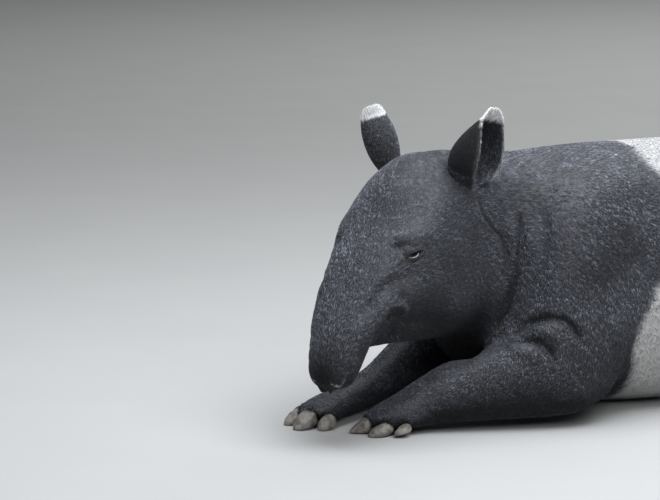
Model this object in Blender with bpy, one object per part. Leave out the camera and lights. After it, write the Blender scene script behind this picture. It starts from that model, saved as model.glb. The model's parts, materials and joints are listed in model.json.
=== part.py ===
"""A Malayan tapir lying at rest with its head turned to its left, life size, in metres.

The animal faces -Y, its left side is +X and the floor is z = 0. The flesh is lofted from rings along the
torso, neck, head and limbs, fused into one skin, relaxed, and then parted into named nodes by thin cuts.
"""

import math

import bmesh
import bpy
import numpy as np
from mathutils import Matrix, Vector
from mathutils.bvhtree import BVHTree

# Driving dimensions, in metres
CROWN = Vector((0.03, -0.35, 0.53))
HEAD_YAW = math.radians(22)
FLESH_VOXEL = 0.006
GAP = 0.0003
SLIVER = 0.000004
SIDES = {"left": 1, "right": -1}

EAR_WALL = 0.005
EYE_RADIUS = 0.018
LID = 0.004
LID_RISE = 0.006
SLIT_HALF = 0.0165

# Triangles left in each zone of the flesh before it is parted
HEAD_TRIANGLES = 2250
FOOT_TRIANGLES = 820
BODY_TRIANGLES = 2000


def clear_scene():
    """Removes everything that the startup scene holds."""
    for obj in list(bpy.data.objects):
        bpy.data.objects.remove(obj)


def catmull(values, steps):
    """A smooth curve through the rows of an array, with the given steps between neighbours."""
    values = np.asarray(values, float)
    padded = np.vstack([2 * values[0] - values[1], values, 2 * values[-1] - values[-2]])
    rows = []
    for i in range(1, len(padded) - 2):
        before, start, end, after = padded[i - 1 : i + 3]
        for step in range(steps):
            t = step / steps
            linear = (end - before) * t
            square = (2 * before - 5 * start + 4 * end - after) * t**2
            cube = (3 * start - before - 3 * end + after) * t**3
            rows.append(0.5 * (2 * start + linear + square + cube))
    rows.append(padded[-2])
    return np.array(rows)


def mesh_object(name, points, faces):
    """A mesh object with its normals pointing out."""
    mesh = bpy.data.meshes.new(name)
    mesh.from_pydata([tuple(p) for p in points], [], faces)
    shape = bmesh.new()
    shape.from_mesh(mesh)
    bmesh.ops.recalc_face_normals(shape, faces=shape.faces)
    shape.to_mesh(mesh)
    shape.free()
    obj = bpy.data.objects.new(name, mesh)
    bpy.context.scene.collection.objects.link(obj)
    return obj


def loft(name, tops, bottoms, sides, widths, waists, powers, steps=4, count=28):
    """A closed tube through rings. Each ring has a top and a bottom point, a side direction, a half width,
    the share of its height at which it is widest, and the power of its superellipse."""
    columns = [np.asarray(c, float).reshape(len(tops), -1) for c in (tops, bottoms, sides, widths, waists, powers)]
    table = catmull(np.hstack(columns), steps)
    points = []
    for row in table:
        top, bottom, side = row[0:3], row[3:6], row[6:9] / np.linalg.norm(row[6:9])
        width, waist, power = row[9:12]
        centre = bottom + (top - bottom) * waist
        for k in range(count):
            angle = 2 * math.pi * k / count
            c, s = math.cos(angle), math.sin(angle)
            across = math.copysign(abs(c) ** (2 / power), c) * width
            height = abs(s) ** (2 / power)
            reach = (top - centre) if s > 0 else (bottom - centre)
            points.append(centre + side * across + reach * height)
    faces = tube_faces(len(table), count)
    return mesh_object(name, points, faces)


def tube_faces(rings, count):
    """The faces of a tube of rings with the same count of points, and of its two ends."""
    faces = []
    for r in range(rings - 1):
        for k in range(count):
            n = (k + 1) % count
            faces.append((r * count + k, r * count + n, (r + 1) * count + n, (r + 1) * count + k))
    faces.append(tuple(range(count))[::-1])
    faces.append(tuple((rings - 1) * count + k for k in range(count)))
    return faces


def blob(name, centre, radii, turn=(0, 0, 0), segments=28):
    """An ellipsoid. turn is a rotation in degrees about X, Y and Z, in that order, or a matrix."""
    bpy.ops.mesh.primitive_uv_sphere_add(segments=segments, ring_count=segments // 2, radius=1)
    obj = bpy.context.object
    obj.name = name
    if isinstance(turn, Matrix):
        spin = turn.to_4x4()
    else:
        spin = Matrix.Identity(4)
        for axis, angle in zip("XYZ", turn):
            spin = Matrix.Rotation(math.radians(angle), 4, axis) @ spin
    obj.data.transform(Matrix.Translation(centre) @ spin @ Matrix.Diagonal((*radii, 1)))
    return obj


def block(name, centre, half, turn=Matrix.Identity(3)):
    """A box with the given half sizes, turned by a matrix whose columns are its own axes."""
    bpy.ops.mesh.primitive_cube_add(size=2)
    obj = bpy.context.object
    obj.name = name
    obj.data.transform(Matrix.Translation(centre) @ turn.to_4x4() @ Matrix.Diagonal((*half, 1)))
    return obj


def axes_from(forward, up):
    """A turn whose Y axis is forward and whose Z axis is as near as can be to up."""
    y = Vector(forward).normalized()
    x = y.cross(Vector(up)).normalized()
    z = x.cross(y).normalized()
    return Matrix((x, y, z)).transposed()


def bake(obj):
    """Applies the object's modifiers."""
    graph = bpy.context.evaluated_depsgraph_get()
    mesh = bpy.data.meshes.new_from_object(obj.evaluated_get(graph))
    obj.modifiers.clear()
    old = obj.data
    obj.data = mesh
    bpy.data.meshes.remove(old)
    return obj


def boolean(obj, other, operation):
    """Applies a Boolean with another object. The flesh has thousands of faces, on which EXACT is slow."""
    modifier = obj.modifiers.new("boolean", "BOOLEAN")
    modifier.solver = "MANIFOLD"
    modifier.operation = operation
    modifier.object = other
    return bake(obj)


def remove(*objects):
    for obj in objects:
        bpy.data.objects.remove(obj)


def duplicate(obj, name):
    """A copy with a mesh of its own."""
    copy = obj.copy()
    copy.data = obj.data.copy()
    copy.name = name
    bpy.context.scene.collection.objects.link(copy)
    return copy


def fuse(forms, name, voxel):
    """One closed skin round all the forms."""
    points, faces = [], []
    for form in forms:
        offset = len(points)
        points += [v.co.copy() for v in form.data.vertices]
        faces += [tuple(offset + i for i in p.vertices) for p in form.data.polygons]
    remove(*forms)
    mesh = bpy.data.meshes.new(name)
    mesh.from_pydata([tuple(p) for p in points], [], faces)
    obj = bpy.data.objects.new(name, mesh)
    bpy.context.scene.collection.objects.link(obj)
    modifier = obj.modifiers.new("skin", "REMESH")
    modifier.mode = "VOXEL"
    modifier.voxel_size = voxel
    return bake(obj)


def points_of(obj):
    points = np.empty(len(obj.data.vertices) * 3, np.float32)
    obj.data.vertices.foreach_get("co", points)
    return points.reshape(-1, 3).astype(float)


def normals_of(obj):
    normals = np.empty(len(obj.data.vertices) * 3, np.float32)
    obj.data.vertex_normals.foreach_get("vector", normals)
    return normals.reshape(-1, 3).astype(float)


def set_points(obj, points):
    obj.data.vertices.foreach_set("co", points.astype(np.float32).ravel())
    obj.data.update()


def relax(obj, rounds, weight):
    """Moves each point towards the mean of its neighbours, by its weight, in each round."""
    points = points_of(obj)
    edges = np.empty(len(obj.data.edges) * 2, np.int32)
    obj.data.edges.foreach_get("vertices", edges)
    a, b = edges.reshape(-1, 2).T
    ends, others = np.concatenate([a, b]), np.concatenate([b, a])
    size = len(points)
    degree = np.bincount(ends, minlength=size)[:, None]
    share = (0.5 * weight)[:, None]
    for _ in range(rounds):
        mean = np.stack([np.bincount(ends, points[others, i], size) for i in range(3)], axis=1) / degree
        points += (mean - points) * share
    set_points(obj, points)


def near(points, centre, radius):
    """1 at the centre, falling smoothly towards 0 past the radius."""
    away = np.linalg.norm(points - np.asarray(centre, float), axis=1)
    return np.exp(-((away / radius) ** 2))


def path_distance(points, path):
    """How far each point is from a polyline."""
    path = np.asarray(path, float)
    best = np.full(len(points), 1e9)
    for start, end in zip(path[:-1], path[1:]):
        along = end - start
        share = np.clip((points - start) @ along / (along @ along), 0, 1)
        gap = np.linalg.norm(points - start - share[:, None] * along, axis=1)
        best = np.minimum(best, gap)
    return best


def stroke(obj, path, radius, height):
    """Raises the skin along a path, or sinks it where the height is negative."""
    points = points_of(obj)
    lift = height * np.exp(-((path_distance(points, path) / radius) ** 2))
    set_points(obj, points + normals_of(obj) * lift[:, None])


def triangulate(obj):
    """Splits every face into triangles, so that a swollen copy has the same folds."""
    shape = bmesh.new()
    shape.from_mesh(obj.data)
    bmesh.ops.triangulate(shape, faces=shape.faces)
    shape.to_mesh(obj.data)
    shape.free()
    return obj


def swell(obj, distance):
    """Moves each point out along its normal."""
    set_points(obj, points_of(obj) + normals_of(obj) * distance)


def finer(obj, centre, radius):
    """Divides the faces of the skin round a point."""
    shape = bmesh.new()
    shape.from_mesh(obj.data)
    edges = [e for e in shape.edges if all((v.co - centre).length < radius for v in e.verts)]
    bmesh.ops.subdivide_edges(shape, edges=edges, cuts=2, use_grid_fill=True)
    bmesh.ops.triangulate(shape, faces=[f for f in shape.faces if len(f.verts) > 4])
    shape.to_mesh(obj.data)
    shape.free()


def thin_out(obj, zone, triangles):
    """Decimates the zone, a mask of points, to about this many triangles."""
    obj.data.calc_loop_triangles()
    corners = np.empty(len(obj.data.loop_triangles) * 3, np.int32)
    obj.data.loop_triangles.foreach_get("vertices", corners)
    inside = zone[corners.reshape(-1, 3)].all(axis=1).sum()
    total = len(corners) // 3
    group = obj.vertex_groups.new(name="zone")
    group.add([int(i) for i in np.nonzero(zone)[0]], 1.0, "REPLACE")
    modifier = obj.modifiers.new("thin", "DECIMATE")
    modifier.vertex_group = "zone"
    modifier.ratio = (total - inside + triangles) / total
    modifier.use_collapse_triangulate = True
    bake(obj)
    obj.vertex_groups.clear()


def surfaces(shape):
    """The closed surfaces of a bmesh as sets of face numbers, the largest last."""
    shape.faces.ensure_lookup_table()
    left = set(shape.faces)
    found = []
    while left:
        stack = [left.pop()]
        surface = set(stack)
        while stack:
            for edge in stack.pop().edges:
                for face in edge.link_faces:
                    if face in left:
                        left.discard(face)
                        surface.add(face)
                        stack.append(face)
        found.append((sum(f.calc_area() for f in surface), {f.index for f in surface}))
    found.sort(key=lambda pair: pair[0])
    return [numbers for _, numbers in found]


def keep_only(obj, numbers):
    """Deletes every face of the mesh but those numbered."""
    shape = bmesh.new()
    shape.from_mesh(obj.data)
    spare = [f for f in shape.faces if f.index not in numbers]
    bmesh.ops.delete(shape, geom=spare, context="FACES")
    shape.to_mesh(obj.data)
    shape.free()
    return obj


def surfaces_of(obj):
    shape = bmesh.new()
    shape.from_mesh(obj.data)
    found = surfaces(shape)
    shape.free()
    return found


def largest(obj):
    """Keeps only the largest closed surface of the mesh."""
    return keep_only(obj, surfaces_of(obj)[-1])


def split(obj):
    """Makes an object of each closed surface of the mesh, and removes the first one."""
    pieces = [keep_only(duplicate(obj, "piece"), numbers) for numbers in surfaces_of(obj)]
    remove(obj)
    return pieces


# The forms of the flesh


def head_point(forward, left, height):
    """A point given ahead of, to the left of and above the crown, in the direction that the head faces."""
    ahead = Vector((math.sin(HEAD_YAW), -math.cos(HEAD_YAW), 0))
    across = Vector((math.cos(HEAD_YAW), math.sin(HEAD_YAW), 0))
    return CROWN + ahead * forward + across * left + Vector((0, 0, height))


def head_direction(forward, left, height):
    return head_point(forward, left, height) - CROWN


def torso():
    """The barrel of the body: y, top, bottom, half width, waist and power of each ring."""
    rows = [
        (-0.33, 0.44, 0.16, 0.10, 0.50, 2.0),
        (-0.27, 0.475, 0.085, 0.155, 0.46, 2.1),
        (-0.15, 0.505, 0.02, 0.20, 0.44, 2.2),
        (0.00, 0.517, -0.004, 0.246, 0.43, 2.3),
        (0.15, 0.515, -0.012, 0.268, 0.42, 2.35),
        (0.35, 0.515, -0.015, 0.284, 0.41, 2.35),
        (0.55, 0.525, -0.012, 0.288, 0.42, 2.3),
        (0.72, 0.54, -0.006, 0.27, 0.45, 2.2),
        (0.86, 0.525, 0.01, 0.24, 0.5, 2.1),
        (0.95, 0.47, 0.055, 0.20, 0.52, 2.0),
        (1.01, 0.39, 0.12, 0.14, 0.52, 2.0),
        (1.035, 0.31, 0.19, 0.06, 0.5, 2.0),
    ]
    tops = [(0, y, top) for y, top, *_ in rows]
    bottoms = [(0, y, bottom) for y, _, bottom, *_ in rows]
    return loft("torso_form", tops, bottoms, [(1, 0, 0)] * len(rows), *[[r[i] for r in rows] for i in (3, 4, 5)])


def head_loft(name, rows):
    """A tube in the head's upright plane. A row has how far ahead and how high its top point is, the same of
    its bottom point, then half width, waist and power."""
    tops = [head_point(r[0], 0, r[1]) for r in rows]
    bottoms = [head_point(r[2], 0, r[3]) for r in rows]
    across = [head_direction(0, 1, 0)] * len(rows)
    return loft(name, tops, bottoms, across, *[[r[i] for r in rows] for i in (4, 5, 6)])


def head():
    """The head with its proboscis, the lower jaw, the cheeks and the roots of the ears."""
    skull = [
        (-0.17, -0.035, -0.14, -0.36, 0.125, 0.55, 2.1),
        (-0.08, -0.008, -0.06, -0.36, 0.128, 0.58, 2.2),
        (0.0, 0.0, 0.02, -0.35, 0.130, 0.60, 2.3),
        (0.07, -0.018, 0.08, -0.34, 0.128, 0.58, 2.4),
        (0.13, -0.052, 0.13, -0.33, 0.121, 0.56, 2.45),
        (0.182, -0.10, 0.165, -0.32, 0.111, 0.55, 2.45),
        (0.234, -0.155, 0.19, -0.315, 0.099, 0.55, 2.4),
        (0.282, -0.215, 0.212, -0.315, 0.087, 0.55, 2.4),
        (0.322, -0.275, 0.230, -0.318, 0.074, 0.52, 2.4),
        (0.350, -0.325, 0.250, -0.335, 0.062, 0.5, 2.4),
        (0.365, -0.37, 0.268, -0.362, 0.055, 0.5, 2.4),
        (0.364, -0.405, 0.284, -0.392, 0.048, 0.5, 2.5),
        (0.350, -0.426, 0.305, -0.420, 0.034, 0.5, 2.5),
    ]
    jaw = [
        (-0.06, -0.24, -0.05, -0.372, 0.085, 0.5, 2.1),
        (0.03, -0.25, 0.04, -0.370, 0.088, 0.5, 2.1),
        (0.10, -0.27, 0.11, -0.364, 0.074, 0.5, 2.1),
        (0.16, -0.295, 0.17, -0.358, 0.060, 0.5, 2.1),
        (0.215, -0.305, 0.215, -0.357, 0.050, 0.5, 2.1),
        (0.250, -0.318, 0.248, -0.356, 0.038, 0.5, 2.1),
        (0.266, -0.330, 0.262, -0.350, 0.020, 0.5, 2.1),
    ]
    forms = [head_loft("skull_form", skull), head_loft("jaw_form", jaw)]
    facing = (0, 0, math.degrees(HEAD_YAW))
    for side, sign in SIDES.items():
        forms.append(blob(f"cheek_form_{side}", head_point(0.055, sign * 0.072, -0.235), (0.062, 0.085, 0.105), facing))
        root, tip, _ = ear_axes(side, sign)
        up = (tip - root).normalized()
        path = [root - up * 0.05, root - up * 0.012, root + up * 0.02, root + up * 0.036]
        forms.append(limb(f"ear_root_form_{side}", path, [0.050, 0.046, 0.036, 0.018], [0.055, 0.048, 0.036, 0.018]))
    return forms


def neck():
    """The neck, which turns from the withers to the head."""
    across = head_direction(0, 1, 0)
    rows = [
        ((0, -0.05, 0.51), (0, 0.0, 0.12), (1, 0, 0), 0.19, 0.5, 2.1),
        ((0, -0.15, 0.505), (0.0, -0.17, 0.11), (1, 0.05, 0), 0.203, 0.5, 2.15),
        ((0.012, -0.235, 0.506), (0.015, -0.25, 0.135), (1, 0.18, 0), 0.192, 0.5, 2.15),
        (head_point(-0.055, 0, -0.012), head_point(-0.035, 0, -0.358), across, 0.156, 0.5, 2.15),
        (head_point(0.03, 0, -0.03), head_point(0.03, 0, -0.34), across, 0.118, 0.5, 2.1),
    ]
    return [loft("neck_form", *[[r[i] for r in rows] for i in range(6)])]


def limb(name, path, widths, heights, power=2.1):
    """A limb along a path of centres, with the half width and half height of each ring."""
    path = [Vector(p) for p in path]
    tops, bottoms, sides = [], [], []
    for i, centre in enumerate(path):
        along = (path[min(i + 1, len(path) - 1)] - path[max(i - 1, 0)]).normalized()
        level = Vector((0, 0, 1)) if abs(along.z) < 0.85 else Vector((0, -1, 0))
        side = along.cross(level).normalized()
        if sides and side.dot(sides[-1]) < 0:
            side = -side
        up = side.cross(along).normalized()
        tops.append(centre + up * heights[i])
        bottoms.append(centre - up * heights[i])
        sides.append(side)
    count = len(path)
    return loft(name, tops, bottoms, sides, widths, [0.5] * count, [power] * count, steps=4, count=20)


# Where each foot ends on the floor, the way that it points, and its toes. A toe has its name, how far ahead
# and how far out its tip is from the end of the foot, how far it is turned out in degrees, the half width of
# its hoof, and how high it is off the floor.
FORE_TOES = [
    ("middle", 0.0, 0.0, 0, 0.0215, 0.0),
    ("inner", -0.022, -0.0435, -12, 0.0175, 0.0),
    ("outer", -0.026, 0.0445, 14, 0.0180, 0.0),
    ("little", -0.072, 0.064, 24, 0.0130, 0.006),
]
HIND_TOES = [
    ("middle", 0.0, 0.0, 0, 0.0205, 0.0),
    ("inner", -0.024, -0.0415, -12, 0.0165, 0.0),
    ("outer", -0.024, 0.0415, 12, 0.0165, 0.0),
]
ELBOWS = {"left": Vector((0.215, -0.15, 0.10)), "right": Vector((-0.215, -0.17, 0.10))}
FEET = {
    ("fore", "left"): (Vector((0.074, -0.570)), Vector((-0.29, -0.957)), FORE_TOES),
    ("fore", "right"): (Vector((0.004, -0.648)), Vector((0.44, -0.898)), FORE_TOES),
    ("hind", "left"): (Vector((0.352, 0.455)), Vector((0.08, -1.0)), HIND_TOES),
    ("hind", "right"): (Vector((-0.352, 0.455)), Vector((-0.08, -1.0)), HIND_TOES),
}


# Rings of each forearm: share of the way from elbow to toe, height of the centre, half width, half height
FOREARMS = {
    "left": [
        (-0.10, 0.078, 0.050, 0.064),
        (0.03, 0.100, 0.066, 0.088),
        (0.16, 0.103, 0.067, 0.090),
        (0.34, 0.091, 0.062, 0.080),
        (0.52, 0.075, 0.053, 0.066),
        (0.68, 0.054, 0.046, 0.048),
        (0.80, 0.037, 0.048, 0.032),
        (0.88, 0.027, 0.048, 0.023),
        (0.93, 0.020, 0.034, 0.013),
    ],
    "right": [
        (-0.10, 0.075, 0.050, 0.062),
        (0.03, 0.092, 0.064, 0.080),
        (0.16, 0.086, 0.060, 0.074),
        (0.34, 0.063, 0.050, 0.055),
        (0.50, 0.045, 0.044, 0.039),
        (0.68, 0.034, 0.042, 0.030),
        (0.80, 0.029, 0.047, 0.025),
        (0.88, 0.024, 0.047, 0.020),
        (0.93, 0.018, 0.034, 0.012),
    ],
}


def toe_frame(foot, toe):
    """Where the tip of a toe is on the floor, the way that it points, and the direction to its left."""
    end, way, _ = FEET[foot]
    sign = SIDES[foot[1]]
    ahead = Vector((*way, 0)).normalized()
    left = Vector((-ahead.y, ahead.x, 0))
    _, forward, out, turn, _, lift = toe
    tip = Vector((*end, 0)) + ahead * forward + left * (sign * out) + Vector((0, 0, lift))
    spin = Matrix.Rotation(math.radians(sign * turn), 3, "Z")
    return tip, spin @ ahead, spin @ left


def toe_flesh(foot, toe):
    """The fleshy part of a toe, which the hoof caps."""
    tip, ahead, _ = toe_frame(foot, toe)
    wide = toe[4]
    path = [tip - ahead * s + Vector((0, 0, z)) for s, z in ((0.105, 0.026), (0.07, 0.023), (0.045, 0.019), (0.022, 0.015))]
    return limb(f"toe_form_{foot[0]}_{foot[1]}_{toe[0]}", path, [wide * k for k in (0.95, 1.0, 0.95, 0.7)],
                [wide * k + 0.002 for k in (0.9, 0.95, 0.8, 0.5)])


def hoof(foot, toe):
    """A hoof: flat below, rounded above and in front, cut off obliquely where it grows from the toe."""
    tip, ahead, left = toe_frame(foot, toe)
    wide = toe[4]
    length = wide * 2.5
    # how far behind the tip, half width, height of the top, height of the foot
    rows = [
        (1.06, 0.70, 0.98, 0.30),
        (0.80, 0.94, 1.05, 0.08),
        (0.50, 1.02, 0.90, 0.0),
        (0.22, 0.86, 0.60, 0.0),
        (0.05, 0.52, 0.34, 0.0),
        (0.0, 0.28, 0.2, 0.02),
    ]
    tops, bottoms, widths = [], [], []
    for back, half, top, low in rows:
        centre = tip - ahead * (length * back)
        tops.append(centre + Vector((0, 0, wide * 1.5 * top)))
        bottoms.append(centre + Vector((0, 0, wide * low)))
        widths.append(wide * half)
    name = f"hoof_{foot[0]}_{foot[1]}_{toe[0]}"
    return triangulate(loft(name, tops, bottoms, [left] * len(rows), widths, [0.32] * len(rows), [2.5] * len(rows), 1, 9))


def foreleg(side, sign):
    """Shoulder, upper arm, and the forearm with the foot laid forward along the floor."""
    elbow = ELBOWS[side]
    end, way, toes = FEET["fore", side]
    path = [(sign * 0.10, 0.03, 0.42), (sign * 0.145, -0.06, 0.36), (sign * 0.172, -0.125, 0.27),
            (sign * 0.195, -0.12, 0.18), elbow + Vector((-sign * 0.005, 0.04, 0)), elbow + Vector((-sign * 0.02, 0.08, -0.04))]
    forms = [limb(f"upper_arm_form_{side}", path, [0.07, 0.10, 0.10, 0.088, 0.066, 0.04], [0.10, 0.15, 0.14, 0.12, 0.09, 0.05])]
    along = end - elbow.xy
    rows = FOREARMS[side]
    path = [Vector((*(elbow.xy + along * r[0]), r[1])) for r in rows]
    forms.append(limb(f"forearm_form_{side}", path, [r[2] for r in rows], [r[3] for r in rows]))
    return forms + [toe_flesh(("fore", side), toe) for toe in toes]


def hind_leg(side, sign):
    """Thigh, shank and foot, folded beside the belly."""
    thigh = limb(f"thigh_form_{side}",
                 [(sign * 0.12, 0.86, 0.37), (sign * 0.165, 0.77, 0.32), (sign * 0.205, 0.65, 0.25), (sign * 0.24, 0.55, 0.19),
                  (sign * 0.262, 0.48, 0.145)],
                 [0.10, 0.135, 0.13, 0.105, 0.06], [0.12, 0.17, 0.165, 0.13, 0.08])
    shank = limb(f"shank_form_{side}",
                 [(sign * 0.268, 0.49, 0.125), (sign * 0.285, 0.60, 0.10), (sign * 0.285, 0.75, 0.068), (sign * 0.275, 0.87, 0.05)],
                 [0.06, 0.07, 0.05, 0.034], [0.085, 0.085, 0.055, 0.04])
    end, way, toes = FEET["hind", side]
    ahead = Vector((*way, 0)).normalized()
    tip = Vector((*end, 0))
    path = [tip - ahead * s + Vector((-sign * inward, 0, z)) for s, inward, z in
            ((0.43, 0.035, 0.045), (0.35, 0.02, 0.042), (0.24, 0.006, 0.038), (0.14, 0.0, 0.036), (0.085, 0.0, 0.030), (0.05, 0.0, 0.022))]
    foot = limb(f"hind_foot_form_{side}", path, [0.03, 0.037, 0.036, 0.045, 0.047, 0.032], [0.035, 0.040, 0.036, 0.034, 0.027, 0.016])
    return [thigh, shank, foot] + [toe_flesh(("hind", side), toe) for toe in toes]


def tail():
    """A short stub that lies against the rump."""
    path = [(0, 0.99, 0.40), (0, 1.035, 0.375), (0, 1.062, 0.33), (0, 1.068, 0.285), (0, 1.066, 0.262)]
    return limb("tail_form", path, [0.040, 0.036, 0.030, 0.023, 0.015], [0.040, 0.034, 0.027, 0.021, 0.015])


# The root and tip of each ear, the bearing to which it opens in degrees from straight ahead, and its breadth
EARS = {
    "left": ((0.026, 0.095, -0.060), (0.014, 0.138, 0.096), 102, 1.08),
    "right": ((0.018, -0.096, -0.060), (0.030, -0.136, 0.074), 122, 0.82),
}


def ear_axes(side, sign):
    """The middle of the ear's root, its tip, and the direction in which it opens."""
    root, tip, bearing, _ = EARS[side]
    angle = math.radians(bearing)
    return head_point(*root), head_point(*tip), head_direction(math.cos(angle), sign * math.sin(angle), 0)


def ear_shell(side, sign):
    """A tall cup, open to the animal's side, rolled shut round its foot and spread out to a rounded tip."""
    root, tip, out = ear_axes(side, sign)
    breadth = EARS[side][3]
    up = (tip - root).normalized()
    out = (out - up * out.dot(up)).normalized()
    wide = up.cross(out).normalized()
    length = (tip - root).length
    # share of the length, half width, depth, degrees to which the wall closes round
    rows = [
        (-0.06, 0.034, 0.036, 165),
        (0.10, 0.041, 0.043, 148),
        (0.24, 0.045, 0.047, 130),
        (0.40, 0.0455, 0.046, 115),
        (0.56, 0.044, 0.040, 105),
        (0.70, 0.040, 0.032, 98),
        (0.82, 0.033, 0.022, 92),
        (0.92, 0.022, 0.012, 90),
        (0.985, 0.010, 0.005, 90),
        (1.0, 0.005, 0.003, 90),
    ]
    table = catmull(rows, 1)
    count = 11
    points = []
    for shrink in (0.0, EAR_WALL):
        for share, width, depth, spread in table:
            drop = shrink * 0.9 if share > 0.85 else 0.0
            base = root + up * (length * share - drop)
            for k in range(count):
                angle = math.radians(spread) * (2 * k / (count - 1) - 1)
                across = wide * (max(width * breadth - shrink, 0.001) * math.sin(angle))
                back = -out * (max(depth * breadth - shrink, 0.0008) * math.cos(angle))
                points.append(base + across + back)
    rings = len(table)
    inner = rings * count
    faces = []
    for r in range(rings - 1):
        for k in range(count - 1):
            a, b, c, d = r * count + k, r * count + k + 1, (r + 1) * count + k + 1, (r + 1) * count + k
            faces += [(a, b, c, d), (inner + d, inner + c, inner + b, inner + a)]
        for k in (0, count - 1):
            a, d = r * count + k, (r + 1) * count + k
            faces.append((a, d, inner + d, inner + a) if k == 0 else (d, a, inner + a, inner + d))
    for r in (0, rings - 1):
        for k in range(count - 1):
            a, b = r * count + k, r * count + k + 1
            faces.append((a, inner + a, inner + b, b) if r == 0 else (a, b, inner + b, inner + a))
    return mesh_object(f"ear_shell_{side}", points, faces)


def flesh():
    """All the flesh in one relaxed skin, still whole."""
    forms = [torso(), *head(), *neck(), tail()]
    for side, sign in SIDES.items():
        forms += foreleg(side, sign)
        forms += hind_leg(side, sign)
    skin = fuse(forms, "flesh", FLESH_VOXEL)
    points = points_of(skin)
    weight = np.zeros(len(points))
    for side, sign in SIDES.items():
        weight = np.maximum(weight, near(points, (sign * 0.18, -0.06, 0.36), 0.20))
        weight = np.maximum(weight, near(points, (sign * 0.20, 0.02, 0.20), 0.16))
        weight = np.maximum(weight, near(points, (sign * 0.19, -0.24, 0.28), 0.10))
        weight = np.maximum(weight, 0.9 * near(points, (sign * 0.18, 0.66, 0.40), 0.24))
        weight = np.maximum(weight, near(points, (sign * 0.27, 0.42, 0.20), 0.10))
    weight = np.maximum(weight, near(points, (0.0, -0.25, 0.50), 0.12))
    relax(skin, 200, np.clip(weight * 1.2, 0, 1))
    relax(skin, 10, np.ones(len(points)))
    return skin


def carve(skin):
    """The folds of the face and neck, pressed into the skin along paths in the head's own directions."""
    for side, sign in SIDES.items():
        def path(*stations):
            return [head_point(f, sign * l, h) for f, l, h in stations]

        # The furrow from the eye down to the trunk, the lip that bulges under it, and the corner of the mouth
        stroke(skin, path((0.215, 0.098, -0.205), (0.253, 0.084, -0.228), (0.285, 0.069, -0.254), (0.305, 0.062, -0.285)),
               0.014, -0.006)
        stroke(skin, path((0.215, 0.098, -0.246), (0.258, 0.082, -0.262), (0.292, 0.070, -0.292), (0.303, 0.060, -0.322)),
               0.016, 0.006)
        stroke(skin, path((0.240, 0.080, -0.288), (0.252, 0.076, -0.292)), 0.013, -0.009)
        # The brow and the hollow in front of the eye
        stroke(skin, path((0.215, 0.086, -0.140), (0.180, 0.100, -0.132), (0.150, 0.112, -0.150)), 0.018, 0.005)
        stroke(skin, path((0.232, 0.085, -0.165), (0.225, 0.085, -0.190)), 0.014, -0.003)
        # The edge of the jaw, up to the ear
        stroke(skin, path((0.022, 0.135, -0.10), (-0.005, 0.138, -0.155), (-0.020, 0.145, -0.21), (-0.02, 0.14, -0.27),
                          (0.01, 0.12, -0.335)), 0.016, -0.008)


def eye_place(skin, side, sign):
    """The centre of the eyeball, the way that it looks, and the line from the front to the rear of its lids."""
    tree = BVHTree.FromObject(skin, bpy.context.evaluated_depsgraph_get())
    spot, look, _, _ = tree.find_nearest(head_point(0.203, sign * 0.096, -0.173))
    look = (look + head_direction(0.0, sign * 0.3, 0.0)).normalized()
    centre = spot - look * (EYE_RADIUS - LID_RISE + LID)
    slit = head_direction(-0.87, sign * 0.26, 0.36)
    slit = (slit - look * slit.dot(look)).normalized()
    up = look.cross(slit) * sign
    return centre, look, slit, up


def lid_edge(place, reach, rise, spread=1.0, count=12):
    """The arc of one lid's edge, at a share of the eye's radius from its centre."""
    centre, look, slit, up = place
    ring = []
    for k in range(count + 1):
        t = 2 * k / count - 1
        ring.append(centre + look * (EYE_RADIUS * reach) + slit * (SLIT_HALF * t * spread) + up * (rise * (1 - t * t) * spread))
    return ring


def carve_lids(skin, place):
    """Raises the mound of the lids over the eyeball, with a fold above and below the slit."""
    centre, look, slit, up = place
    finer(skin, centre, 0.036)
    spot = centre + look * (EYE_RADIUS + LID - LID_RISE)
    stroke(skin, [spot - slit * 0.008, spot + slit * 0.008], 0.017, LID_RISE)
    stroke(skin, [p + up * 0.0105 - look * 0.002 for p in lid_edge(place, 1.05, 0.004)], 0.0042, -0.0022)
    stroke(skin, [p - up * 0.0125 - look * 0.003 for p in lid_edge(place, 1.05, -0.004)], 0.0045, -0.0018)
    stroke(skin, [p + up * 0.0185 - look * 0.006 for p in lid_edge(place, 1.0, 0.006)], 0.006, 0.0015)


def lid_cutter(name, place):
    """An almond that opens a slit between the lids: its two edges are arcs that meet at the corners."""
    count = 10
    points = []
    for reach, spread in ((0.6, 0.8), (1.9, 1.3)):
        points += lid_edge(place, reach, 0.0022, spread, count)
        points += lid_edge(place, reach, -0.0046, spread, count)[-2:0:-1]
    return mesh_object(name, points, tube_faces(2, 2 * count))


# The line of the mouth: how far ahead and how high it is, from the angle of the jaw to under the chin
MOUTH = [(0.100, -0.292), (0.180, -0.286), (0.232, -0.284), (0.252, -0.296), (0.267, -0.314), (0.275, -0.334),
         (0.272, -0.352), (0.262, -0.370)]
MOUTH_CORNER = 2
MOUTH_GAP = 0.0022


def mouth_cutter():
    """A slot through the muzzle along the line of the mouth, from its corner to under the chin."""
    line = [Vector(p) for p in MOUTH[MOUTH_CORNER:]]
    above, below = [], []
    for i, point in enumerate(line):
        along = (line[min(i + 1, len(line) - 1)] - line[max(i - 1, 0)]).normalized()
        away = Vector((-along.y, along.x)) * MOUTH_GAP / 2
        above.append(point + away)
        below.append(point - away)
    ring = above + below[::-1]
    points = [head_point(f, side * 0.13, h) for side in (1, -1) for f, h in ring]
    return mesh_object("mouth_cutter", points, tube_faces(2, len(ring)))


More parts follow.
